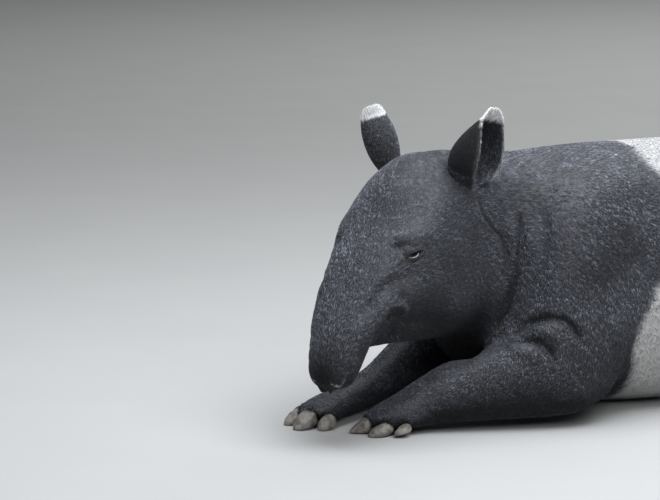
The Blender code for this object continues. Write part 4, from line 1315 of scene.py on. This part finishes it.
def tone_at(points: np.ndarray, draw: np.random.Generator) -> np.ndarray:
    """Draws how light each hair is, in small clumps of like hairs.

    Args:
        points: the roots of the hair.
        draw: the source of random numbers.

    Returns:
        One value a point, from 0 to 1.
    """
    clump = ramp(waves(points, 0.0095, 12) + 0.35 * waves(points, 0.05, 13), -0.1, 1.2)
    return np.clip(0.75 * clump + 0.5 * draw.random(len(points)) ** 2.5, 0, 1)


# The coat


@dataclass(frozen=True)
class Lie:
    """How the hair lies: directions at stations of the body, blended between them."""

    radius: float = 0.13
    # Place and direction on the left side of the body
    body: tuple = (
        ((0.0, -0.30, 0.52), (0.0, 1.0, 0.0)),
        ((0.0, 0.10, 0.52), (0.0, 1.0, 0.0)),
        ((0.0, 0.50, 0.53), (0.0, 1.0, -0.1)),
        ((0.0, 0.80, 0.42), (0.0, 0.5, -0.9)),
        ((0.0, 0.85, 0.25), (0.0, 0.0, -1.0)),
        ((0.17, -0.42, 0.44), (0.05, 0.75, -0.65)),
        ((0.17, -0.45, 0.25), (0.0, 0.7, -0.75)),
        ((0.25, -0.28, 0.33), (0.0, 0.68, -0.75)),
        ((0.26, -0.33, 0.18), (0.0, 0.15, -1.0)),
        ((0.26, -0.05, 0.35), (0.0, 0.85, -0.55)),
        ((0.27, 0.10, 0.18), (0.0, 0.8, -0.6)),
        ((0.15, 0.10, 0.01), (-0.3, 0.9, 0.0)),
        ((0.27, 0.30, 0.36), (0.0, 0.85, -0.5)),
        ((0.31, 0.32, 0.20), (0.0, 0.45, -0.9)),
        ((0.33, 0.50, 0.24), (0.0, 0.35, -0.95)),
        ((0.28, 0.70, 0.22), (-0.1, 0.35, -0.95)),
        ((0.32, 0.66, 0.07), (0.0, 0.6, -0.6)),
        ((0.36, 0.50, 0.06), (0.0, -0.9, -0.3)),
        ((0.35, 0.32, 0.05), (0.0, -1.0, -0.2)),
        ((0.0, -0.45, 0.12), (0.0, 0.8, -0.5)),
    )
    # Place and direction on the left side of the head, in the directions of the head
    head: tuple = (
        ((0.35, 0.03, -0.40), (-0.25, 0.1, 1.0)),
        ((0.33, 0.0, -0.28), (-0.5, 0.0, 0.85)),
        ((0.24, 0.0, -0.16), (-0.65, 0.0, 0.75)),
        ((0.12, 0.0, -0.04), (-0.9, 0.0, 0.35)),
        ((0.0, 0.0, 0.0), (-1.0, 0.0, -0.1)),
        ((-0.10, 0.0, -0.01), (-1.0, 0.0, -0.1)),
        ((0.27, 0.07, -0.26), (-0.75, 0.2, 0.35)),
        ((0.20, 0.10, -0.14), (-0.85, 0.1, 0.35)),
        ((0.20, 0.10, -0.22), (-0.95, 0.2, -0.1)),
        ((0.10, 0.12, -0.10), (-0.95, 0.1, -0.05)),
        ((0.08, 0.13, -0.20), (-0.9, 0.1, -0.35)),
        ((0.10, 0.10, -0.32), (-0.95, 0.0, -0.25)),
        ((0.20, 0.04, -0.355), (-1.0, 0.0, -0.1)),
        ((-0.02, 0.14, -0.20), (-0.8, 0.1, -0.6)),
        ((0.0, 0.08, -0.36), (-0.9, 0.0, -0.3)),
    )

    def anchors(self) -> tuple[np.ndarray, np.ndarray]:
        """Lists the stations of both sides with their directions."""
        places, ways = [], []
        for side, sign in SIDES.items():
            for (x, y, z), (a, b, c) in self.body:
                places.append((sign * x, y, z))
                ways.append((sign * a, b, c))
            for (f, l, h), (a, b, c) in self.head:
                places.append(tuple(HEAD.point(f, sign * l, h)))
                ways.append(tuple(HEAD.way(a, sign * b, c)))
            elbow, foot = middle(f"upper_foreleg_{side}"), middle(f"hoof_fore_{side}_middle")
            low = Vector((elbow.x, elbow.y - 0.08, 0.10))
            for share in (0.15, 0.45, 0.75, 1.0):
                places.append(tuple(low.lerp(foot, share)))
                ways.append(tuple((foot - low).normalized()))
        return np.array(places), unit(np.array(ways))

    def at(self, points: np.ndarray, normals: np.ndarray) -> np.ndarray:
        """Works out the direction of the hair at each point, along the skin.

        Args:
            points: the roots of the hair.
            normals: the skin's normals there.

        Returns:
            One direction a root.
        """
        places, ways = self.anchors()
        total = np.zeros_like(points)
        for place, way in zip(places, ways):
            away = ((points - place) ** 2).sum(axis=1)
            total += (np.exp(-away / self.radius**2) + 1e-9 / (away + 0.01))[:, None] * way
        total = unit(total)
        for ear in EARS.values():
            total[ear.zone(points)] = np.array(ear.up)
        total -= normals * (total * normals).sum(axis=1)[:, None]
        return unit(total)


@dataclass(frozen=True)
class Hair:
    """The sizes of a tuft on one kind of ground."""

    spacing: float
    length: float
    width: float
    thick: float
    lift: float


class Ground(Enum):
    """The kinds of ground that hair grows on."""

    FACE = Hair(0.0026, 0.0062, 0.0014, 0.00040, 5.0)
    NECK = Hair(0.0031, 0.0085, 0.0017, 0.00050, 5.0)
    TORSO = Hair(0.0037, 0.0105, 0.0020, 0.00042, 3.2)
    LEG = Hair(0.0032, 0.0080, 0.0017, 0.00050, 5.0)
    FOOT = Hair(0.0027, 0.0050, 0.0013, 0.00040, 4.0)
    EAR = Hair(0.0018, 0.0048, 0.0011, 0.00030, 5.0)
    HIDDEN = Hair(0.0070, 0.0090, 0.0025, 0.00050, 2.0)


@dataclass
class Surface:
    """The skin as arrays: its points and normals, and what each triangle is like."""

    points: np.ndarray
    normals: np.ndarray
    corners: np.ndarray
    areas: np.ndarray
    middles: np.ndarray
    facing: np.ndarray

    @classmethod
    def of(cls, obj: bpy.types.Object) -> "Surface":
        """Reads a mesh."""
        obj.data.calc_loop_triangles()
        corners = np.empty(len(obj.data.loop_triangles) * 3, np.int32)
        obj.data.loop_triangles.foreach_get("vertices", corners)
        corners = corners.reshape(-1, 3)
        points, normals = points_of(obj), normals_of(obj)
        a, b, c = (points[corners[:, i]] for i in range(3))
        square = np.cross(b - a, c - a)
        areas = np.linalg.norm(square, axis=1) / 2
        return cls(points, normals, corners, areas, (a + b + c) / 3, unit(square))


# Place and direction of each long hair by eye and lip, as the head is turned, its length and whiteness
LONG_HAIRS = (
    (0.2195, 0.057, -0.152, -0.05, 0.75, -0.60, 0.026, 0.50),
    (0.2215, 0.056, -0.157, -0.05, 0.75, -0.62, 0.024, 0.40),
    (0.2230, 0.060, -0.160, -0.05, 0.70, -0.68, 0.018, 0.25),
    (0.2180, 0.062, -0.149, -0.15, 0.75, -0.50, 0.017, 0.30),
    (0.262, 0.079, -0.275, -0.35, 0.60, -0.60, 0.020, 0.30),
    (0.255, 0.078, -0.283, -0.50, 0.60, -0.50, 0.018, 0.40),
    (0.268, 0.076, -0.288, -0.30, 0.60, -0.75, 0.018, 0.20),
    (0.222, 0.078, -0.300, -0.50, 0.50, -0.70, 0.017, 0.40),
    (0.300, 0.062, -0.318, -0.10, 0.50, -0.85, 0.016, 0.15),
    (0.312, 0.058, -0.330, -0.10, 0.50, -0.85, 0.015, 0.15),
    (0.235, 0.066, -0.325, -0.20, 0.30, -0.95, 0.018, 0.20),
    (0.215, 0.066, -0.330, -0.30, 0.30, -0.95, 0.020, 0.20),
)


@dataclass
class Hairs:
    """Single hairs that stand out of the coat."""

    roots: np.ndarray
    ways: np.ndarray
    lengths: np.ndarray
    pale: np.ndarray
    width: float

    @classmethod
    def fringe(cls, ear: Ear, seed: int) -> "Hairs":
        """Draws the fringe of an ear with the long hairs by the eye and the whiskers of the lip.

        Args:
            ear: the ear.
            seed: the seed of the draws.

        Returns:
            The hairs of one side of the head.
        """
        draw = np.random.default_rng(seed)
        roots, ways, lengths, pale = [], [], [], []
        for across, count in ((-1, 260), (1, 700)):
            for share in draw.uniform(0.12, 0.99, count):
                spot = ear.spot(ear.row(share), across)
                away = (spot - ear.spot(ear.row(share), across * 0.9)).normalized()
                along = (ear.spot(ear.row(share + 0.02), across) - spot).normalized()
                roots.append(spot + Vector(draw.normal(0, 0.0009, 3)))
                lean = 1.1 if share > 0.35 else -0.2
                ways.append(away * 0.5 + along * lean + Vector(draw.normal(0, 0.22, 3)))
                lengths.append(draw.uniform(0.0030, 0.0058))
                tones = [0.1, 0.6] if across > 0 else [0.0, 0.3]
                pale.append(1.0 if share > 0.85 else draw.choice(tones))
        for share, across in zip(draw.uniform(0.85, 1.0, 900), draw.uniform(-1, 1, 900)):
            out, _ = ear.axes(share)
            roots.append(ear.spot(ear.row(share), across) + out * (ear.wall / 2))
            ways.append(ear.up * 0.9 + out * 0.75 + Vector(draw.normal(0, 0.22, 3)))
            lengths.append(draw.uniform(0.0035, 0.0065))
            pale.append(1.0)
        sign = ear.sign
        for f, l, h, a, b, c, size, white in LONG_HAIRS:
            roots.append(HEAD.point(f, sign * l, h))
            ways.append(HEAD.way(a, sign * b, c))
            lengths.append(size)
            pale.append(white)
        return cls(np.array(roots), np.array(ways), np.array(lengths), np.array(pale), 0.00055)

    @classmethod
    def cuff(cls, hooves: list, points: np.ndarray, normals: np.ndarray, seed: int) -> "Hairs":
        """Draws the longer hair that hangs over the roots of the hooves.

        Args:
            hooves: the hooves of one leg.
            points: the points of the skin.
            normals: their normals.
            seed: the seed of the draws.

        Returns:
            The hairs of one leg.
        """
        draw = np.random.default_rng(seed)
        roots, ways = [], []
        graph = bpy.context.evaluated_depsgraph_get()
        for hoof in hooves:
            tree = BVHTree.FromObject(hoof, graph)
            corners = points_of(hoof)
            low, high = corners.min(axis=0) - 0.006, corners.max(axis=0) + 0.006
            close = np.nonzero(((points > low) & (points < high) & (points[:, 2:] > 0.008)).all(axis=1))[0]
            close = [i for i in close if tree.find_nearest(Vector(points[i]), 0.0055)[0] is not None]
            if not close:
                continue
            way = hoof_way(hoof.name)
            for i in draw.choice(close, 260):
                roots.append(points[i] + draw.normal(0, 0.0010, 3))
                ways.append(np.array(way) * 1.2 + normals[i] * 0.55 + draw.normal(0, 0.18, 3))
        count = len(roots)
        lengths = draw.uniform(0.006, 0.011, count)
        return cls(np.array(roots), np.array(ways), lengths, np.zeros(count), 0.0011)


def hoof_way(name: str) -> Vector:
    """Tells which way a hoof points."""
    sign = 1 if "left" in name else -1
    if "fore" in name:
        return Vector((-0.29 * sign, -0.957, 0))
    return Vector((-0.08 * sign, -1.0, 0)).normalized()


@dataclass
class Coat:
    """Thin short tufts of hair all over the skin, in one piece for each part of the body."""

    skin: Skin
    hooves: list
    lie: Lie = field(default_factory=Lie)
    extras: dict = field(default_factory=dict)
    patch: float = 0.003
    sunk: float = 0.0006

    def grounds(self, places: np.ndarray, normals: np.ndarray) -> np.ndarray:
        """Tells which kind of ground each place is.

        Args:
            places: the middles of faces.
            normals: their normals.

        Returns:
            The index of the kind in Ground.
        """
        kinds = list(Ground)
        head = HEAD.local(places)
        found = np.full(len(places), kinds.index(Ground.TORSO))
        x, y, z = np.abs(places[:, 0]), places[:, 1], places[:, 2]
        for kind, mask in (
            (Ground.NECK, (y < -0.36) & (z > 0.03)),
            (Ground.LEG, ((x > 0.285) & (z < 0.14)) | ((y < -0.36) & (z < 0.20))),
            (Ground.FOOT, (z < 0.09) & ((y < -0.64) | ((x > 0.28) & (y < 0.40) & (y > 0.2)))),
            (Ground.FACE, (head[:, 0] > 0.03) & (z > 0.11) & (np.abs(head[:, 1]) < 0.16)),
            *((Ground.EAR, ear.zone(places)) for ear in EARS.values()),
            (Ground.HIDDEN, (z < 0.012) | ((normals[:, 2] < -0.8) & (z < 0.06))),
        ):
            found[mask] = kinds.index(kind)
        return found

    def regions(self, places: np.ndarray) -> dict[str, np.ndarray]:
        """Divides the skin's faces between the pieces of the coat."""
        head = HEAD.local(places)
        left, y, z = places[:, 0] > 0, places[:, 1], places[:, 2]
        is_head = (head[:, 0] > 0.015) & (z > 0.105) & (np.abs(head[:, 1]) < 0.2)
        is_leg = ~is_head & (y < -0.40) & (z < 0.20)
        parts = {
            "head": is_head,
            "foreleg": is_leg,
            "shoulder": ~is_head & ~is_leg & (y < -0.10),
            "barrel": ~is_head & (y >= -0.10) & (y < 0.24),
            "hind": y >= 0.24,
        }
        made = {}
        for side, half, face in (("left", left, head[:, 1] > 0), ("right", ~left, head[:, 1] <= 0)):
            for part, mask in parts.items():
                made[f"coat_{part}_{side}"] = mask & (face if part == "head" else half)
        return made

    def unwrap(self, surface: Surface, mask: np.ndarray) -> tuple[np.ndarray, np.ndarray]:
        """Unwraps a part of the skin.

        Args:
            surface: the whole skin.
            mask: the triangles of the part.

        Returns:
            The numbers of its triangles, and the places of their corners on the unwrap.
        """
        numbers = np.nonzero(mask)[0]
        used, local = np.unique(surface.corners[numbers].ravel(), return_inverse=True)
        mesh = bpy.data.meshes.new("chart")
        mesh.from_pydata(surface.points[used].tolist(), [], local.reshape(-1, 3).tolist())
        obj = link("chart", mesh)
        with editing(obj):
            bpy.ops.uv.smart_project(angle_limit=math.radians(70), island_margin=0.004)
        flat = np.empty(len(mesh.loops) * 2, np.float32)
        mesh.uv_layers.active.data.foreach_get("uv", flat)
        bpy.data.objects.remove(obj)
        bpy.data.meshes.remove(mesh)
        return numbers, flat.reshape(-1, 3, 2).astype(float)

    def grow(
        self, name: str, surface: Surface, mask: np.ndarray, kinds: np.ndarray, seed: int,
    ) -> bpy.types.Object:
        """Grows the tufts of one piece of the coat.

        Args:
            name: the piece's name.
            surface: the whole skin.
            mask: the triangles that it covers.
            kinds: the kind of ground of each triangle.
            seed: the seed of its random draws.

        Returns:
            The piece.
        """
        draw = np.random.default_rng(seed)
        numbers, charts = self.unwrap(surface, mask)
        table = np.array([(h.spacing, h.length, h.width, h.thick, h.lift) for h in (g.value for g in Ground)])
        sizes = table[kinds[numbers]]
        wanted = surface.areas[numbers] / sizes[:, 0] ** 2
        count = int(wanted.sum())
        picked = draw.choice(len(numbers), size=count, p=wanted / wanted.sum())
        split = draw.random((count, 2))
        split = np.where(split.sum(axis=1, keepdims=True) > 1, 1 - split, split)
        share = np.column_stack([1 - split.sum(axis=1), split])
        corners = surface.corners[numbers[picked]]
        roots = (surface.points[corners] * share[..., None]).sum(axis=1)
        normals = unit((surface.normals[corners] * share[..., None]).sum(axis=1))
        flat = (charts[picked] * share[..., None]).sum(axis=1)
        ways = self.lie.at(roots, normals)
        swing = draw.normal(0, 0.17, count)[:, None]
        ways = unit(ways * np.cos(swing) + np.cross(normals, ways) * np.sin(swing))
        _, length, width, thick, lift = sizes[picked].T
        length = length * draw.uniform(0.7, 1.25, count) * self.trimmed(roots)
        lift = np.radians(lift * draw.uniform(0.3, 1.7, count))
        pale = np.zeros(count)
        growth = [roots, normals, ways, length, width, thick, lift, flat, pale]
        if name in self.extras:
            single = self.place(self.extras[name], surface, numbers, charts)
            growth = [np.concatenate(pair) for pair in zip(growth, single)]
        return self.tufts(name, *growth, draw)

    def trimmed(self, roots: np.ndarray) -> np.ndarray:
        """Says how far the hair is shortened round the slits of the eyes.

        Args:
            roots: the roots of the hair.

        Returns:
            One factor a root.
        """
        total = np.ones(len(roots))
        for place in self.skin.eyes.values():
            slit = place.lid(1.2, 0.0, 0.95)
            total = np.minimum(total, 0.40 + 0.60 * ramp(path_distance(roots, slit), 0.006, 0.018))
        return total

    def place(
        self, hairs: Hairs, surface: Surface, numbers: np.ndarray, charts: np.ndarray,
    ) -> list[np.ndarray]:
        """Gives single hairs the nearest spots of the skin and of its unwrap.

        Args:
            hairs: the hairs.
            surface: the whole skin.
            numbers: the triangles of the piece.
            charts: the places of their corners on the unwrap.

        Returns:
            The columns that grow() fills for its own tufts.
        """
        middles = surface.middles[numbers]
        best = np.array([((middles - root) ** 2).sum(axis=1).argmin() for root in hairs.roots])
        corners = surface.corners[numbers[best]]
        normals = unit(surface.normals[corners].mean(axis=1))
        ones = np.ones(len(best))
        return [
            hairs.roots, normals, unit(hairs.ways), hairs.lengths, hairs.width * ones,
            hairs.width * 0.7 * ones, 0.0 * ones, charts[best].mean(axis=1), hairs.pale,
        ]

    def tufts(
        self, name: str, roots: np.ndarray, normals: np.ndarray, ways: np.ndarray,
        length: np.ndarray, width: np.ndarray, thick: np.ndarray, lift: np.ndarray, flat: np.ndarray,
        pale: np.ndarray, draw: np.random.Generator,
    ) -> bpy.types.Object:
        """Makes one mesh of closed, flattened spikes, each with four corners.

        Args:
            name: the piece's name.
            roots: where each tuft grows.
            normals: the skin's normals there.
            ways: the way that it lies.
            length: its length.
            width: its width at the root.
            thick: its thickness at the root.
            lift: how steeply it rises, in radians.
            flat: its root's place on the unwrap.
            pale: how white it is at least.
            draw: the source of random numbers.

        Returns:
            The mesh object, not yet dressed.
        """
        count = len(roots)
        across = unit(np.cross(normals, ways))
        sunk = roots - normals * self.sunk
        half = across * (width / 2)[:, None]
        tip = roots + ways * (length * np.cos(lift))[:, None] + normals * (length * np.sin(lift))[:, None]
        ridge = sunk + normals * (thick + self.sunk)[:, None]
        corners = np.stack([sunk + half, sunk - half, ridge, tip], axis=1)
        corners[..., 2] = np.maximum(corners[..., 2], 0.0002)
        order = np.array([(0, 3, 1), (0, 2, 3), (1, 3, 2), (0, 1, 2)])
        faces = (np.arange(count) * 4)[:, None, None] + order
        mesh = bpy.data.meshes.new(name)
        mesh.vertices.add(count * 4)
        mesh.vertices.foreach_set("co", corners.astype(np.float32).ravel())
        mesh.loops.add(count * 12)
        mesh.loops.foreach_set("vertex_index", faces.astype(np.int32).ravel())
        mesh.polygons.add(count * 4)
        mesh.polygons.foreach_set("loop_start", np.arange(0, count * 12, 3, dtype=np.int32))
        layer = mesh.uv_layers.new(name="OFBake")
        offsets = np.array([(0.3, -0.5), (-0.3, -0.5), (0.0, -0.3), (0.0, 0.5)]) * self.patch
        spots = flat[:, None, :] + offsets[None]
        layer.data.foreach_set("uv", np.clip(spots[:, order], 0, 1).astype(np.float32).ravel())
        mesh.update(calc_edges=True)
        obj = link(name, mesh)
        white = pale_at(roots)
        white = ramp(white + 3.2 * white * (1 - white) * (draw.random(count) - 0.5), 0.15, 0.85)
        attribute(obj, "pale", np.repeat(np.maximum(white, pale), 4))
        attribute(obj, "shade", np.repeat(shade_at(roots, normals), 4))
        cap = np.maximum.reduce([ear.white(roots) for ear in EARS.values()])
        # On white hair the tone is lowered where the skin faces down or sideways: painted shade on the white
        tone_and_shade = tone_at(roots, draw) * np.where(white > 0.5, 0.3 + 0.7 * ramp(normals[:, 2], -0.2, 0.6), 1.0)
        attribute(obj, "tone_and_shade", np.repeat(np.maximum.reduce([tone_and_shade, pale, cap]), 4))
        return obj

    def build(self, material: bpy.types.Material) -> None:
        """Grows every piece of the coat.

        Args:
            material: its finish.
        """
        surface = Surface.of(self.skin.obj)
        kinds = self.grounds(surface.middles, surface.facing)
        total = 0
        for index, (side, ear) in enumerate(EARS.items()):
            self.extras[f"coat_head_{side}"] = Hairs.fringe(ear, SEED + 40 + index)
            for leg, part in (("fore", "foreleg"), ("hind", "hind")):
                own = [hoof for hoof in self.hooves if hoof.name.startswith(f"horn_{leg}_{side}")]
                hairs = Hairs.cuff(own, surface.points, surface.normals, SEED + 50 + index)
                self.extras[f"coat_{part}_{side}"] = hairs
        for index, (name, mask) in enumerate(self.regions(surface.middles).items()):
            obj = self.grow(name, surface, mask, kinds, SEED + index)
            wear(obj, material)
            total += triangle_count(obj)
            log.info("%s: %d triangles", name, triangle_count(obj))
        log.info("coat: %d triangles", total)


# Eyes, lid rims and hooves


@dataclass
class Eyes:
    """Wet eyeballs behind the lids, with the rim of each lower lid, pinkish and coloured pale to paint its
    wet highlight.
    """

    places: dict
    gap: float = 0.00015
    rim_radius: float = 0.0009

    def ball(self, side: str, place: EyePlace) -> bpy.types.Object:
        """Makes one eyeball, a little smaller than its socket."""
        radius = EYE_RADIUS - self.gap
        bpy.ops.mesh.primitive_uv_sphere_add(segments=48, ring_count=32, radius=radius, location=place.centre)
        obj = bpy.context.object
        obj.name = f"eyeball_{side}"
        bpy.ops.object.transform_apply(location=True, rotation=True, scale=True)
        bpy.ops.object.shade_smooth()
        away = unit(points_of(obj) - np.array(place.centre))
        attribute(obj, "gaze", away @ np.array(place.look))
        return obj

    def rim(self, side: str, place: EyePlace) -> bpy.types.Object:
        """Makes the rim along the inner edge of the lower lid, coloured pale to paint its wet highlight."""
        arc = place.lid(1.0, -0.0060, 0.86, 16)
        curve = bpy.data.curves.new(f"lid_rim_{side}", "CURVE")
        curve.dimensions = "3D"
        curve.bevel_depth = self.rim_radius
        curve.bevel_resolution = 2
        curve.use_fill_caps = True
        line = curve.splines.new("POLY")
        line.points.add(len(arc) - 1)
        for k, (point, spot) in enumerate(zip(line.points, arc)):
            out = (spot - place.centre).normalized() * (EYE_RADIUS + 0.0006)
            point.co = (*(place.centre + out), 1)
            share = k / (len(arc) - 1)
            point.radius = 0.12 + math.sin(math.pi * share) * (0.10 + 1.0 * share)
        select_only(link(f"lid_rim_{side}", curve))
        bpy.ops.object.convert(target="MESH")
        bpy.ops.object.shade_smooth()
        return bpy.context.object

    def build(self, wet: bpy.types.Material, wet_rim_highlight: bpy.types.Material) -> None:
        """Makes both eyes.

        Args:
            wet: the finish of the eyeball.
            wet_rim_highlight: the finish of the lid's rim.
        """
        for side, place in self.places.items():
            ball = self.ball(side, place)
            wear(ball, wet)
            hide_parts(f"eye_{side}")
            wear(self.rim(side, place), wet_rim_highlight)
            log.info("eye %s at %s", side, tuple(round(c, 3) for c in place.centre))


@dataclass
class Hooves:
    """Domed hooves, fused smooth from the solids, with growth lines."""

    voxel: float = 0.0014
    line_gap: float = 0.0045
    line_depth: float = 0.00022
    made: list = field(default_factory=list)

    def taper(self, points: np.ndarray, name: str) -> np.ndarray:
        """Makes a hoof lower and narrower towards its tip.

        Args:
            points: its points.
            name: its node, which tells the way that it points.

        Returns:
            The moved points.
        """
        way = np.array(hoof_way(name))[:2]
        side = np.array([-way[1], way[0]])
        away = points[:, :2] - (points[:, :2].min(axis=0) + points[:, :2].max(axis=0)) / 2
        along, across = away @ way, away @ side
        share = ramp(along / max(along.max(), 1e-6), -0.3, 1.1)
        points = points.copy()
        points[:, :2] += side * (-0.22 * share * across)[:, None]
        points[:, 2] *= 1 - 0.22 * share
        return points

    def build(self, material: bpy.types.Material) -> None:
        """Makes every hoof.

        Args:
            material: its finish.
        """
        names = sorted(n for n in frame["nodes"] if n.startswith("hoof_"))
        for name in names:
            obj = copy_of(name)
            obj.name = name.replace("hoof_", "horn_")
            apply_modifier(obj, "REMESH", mode="VOXEL", voxel_size=self.voxel, adaptivity=0.0)
            points = points_of(obj)
            smooth(obj, ramp(points[:, 2], 0.0008, 0.003), 10)
            points = self.taper(points_of(obj), name)
            set_points(obj, points)
            rings = np.sin((points[:, 1] * 0.9 - points[:, 2] * 0.6) * 2 * math.pi / self.line_gap)
            above = ramp(points[:, 2], 0.001, 0.004)
            set_points(obj, points + normals_of(obj) * (rings * self.line_depth * above)[:, None])
            select_only(obj)
            bpy.ops.object.shade_smooth()
            wear(obj, material)
            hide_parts(name)
            self.made.append(obj)
        log.info("hooves: %d", len(names))


# The studio


@dataclass
class Studio:
    """A pale floor, soft light and the camera of the photograph's view."""

    azimuth: float = 60.0
    elevation: float = 9.0
    distance: float = 5.5
    lens: float = 156.0
    target: tuple = (-0.0464, -0.7409, 0.3344)
    # Name, place, aim, size, power and colour
    lights: tuple = (
        ("sky_light", (0.6, -0.3, 3.4), (0.1, -0.3, 0.3), 3.4, 208, (0.93, 0.96, 1.0)),
        ("side_light", (4.2, -0.9, 3.3), (0.1, -0.5, 0.3), 2.4, 70, (0.97, 0.98, 1.0)),
        ("back_light", (-4.5, 6.0, 6.5), (-6.0, 7.0, 0.0), 7.0, 420, (1.0, 1.0, 1.0)),
    )

    def camera(self) -> None:
        """Places the camera."""
        a, e = math.radians(self.azimuth), math.radians(self.elevation)
        back = Vector((math.sin(a) * math.cos(e), -math.cos(a) * math.cos(e), math.sin(e)))
        data = bpy.data.cameras.new("camera")
        data.lens = self.lens
        data.sensor_width = 36.0
        data.clip_end = 100.0
        obj = link("camera", data)
        obj.location = Vector(self.target) + back * self.distance
        obj.rotation_euler = (-back).to_track_quat("-Z", "Y").to_euler()
        bpy.context.scene.camera = obj

    def light(self, name: str, place: tuple, aim: tuple, size: float, power: float, colour: tuple) -> None:
        """Places one soft square light."""
        data = bpy.data.lights.new(name, "AREA")
        data.shape = "SQUARE"
        data.size = size
        data.energy = power
        data.color = colour
        obj = link(name, data)
        obj.location = place
        obj.rotation_euler = (Vector(aim) - Vector(place)).to_track_quat("-Z", "Y").to_euler()

    def floor(self, material: bpy.types.Material) -> None:
        """Lays the floor."""
        bpy.ops.mesh.primitive_plane_add(size=60, location=(0, 0, 0))
        obj = bpy.context.object
        obj.name = "floor"
        obj.data.materials.append(material)

    def build(self) -> None:
        """Sets the whole studio up."""
        self.camera()
        grey, second = (0.46, 0.465, 0.46, 1), (0.50, 0.50, 0.49, 1)
        self.floor(PlainFinish("Studio floor", grey, second, 0.9, 3.0).make())
        for row in self.lights:
            self.light(*row)
        world = bpy.data.worlds.new("studio")
        world.use_nodes = True
        background = world.node_tree.nodes["Background"]
        background.inputs["Color"].default_value = (0.90, 0.94, 1.0, 1)
        background.inputs["Strength"].default_value = 0.10
        bpy.context.scene.world = world
        bpy.context.scene.view_settings.view_transform = "Standard"


def main() -> None:
    """Builds the pieces in order."""
    logging.basicConfig(level=logging.INFO, format="%(relativeCreated)6d %(message)s")
    bpy.ops.object.select_all(action="DESELECT")
    Studio().build()
    flecks = FleckGroup()
    coat_finish = CoatFinish("Coat").make(flecks)
    skin_finish = CoatFinish("Skin", bump=0.6).make(flecks)
    skin = Skin()
    skin.build(skin_finish)
    # The lid's rim is pinkish and coloured pale to paint its wet highlight
    wet_rim_highlight = PlainFinish("Lid rim highlight", (0.80, 0.72, 0.68, 1), (0.66, 0.56, 0.53, 1), 0.12, 300.0).make()
    Eyes(skin.eyes).build(EyeFinish().make(), wet_rim_highlight)
    hooves = Hooves()
    hooves.build(HornFinish().make())
    Coat(skin, hooves.made).build(coat_finish)


if __name__ == "__main__":
    main()
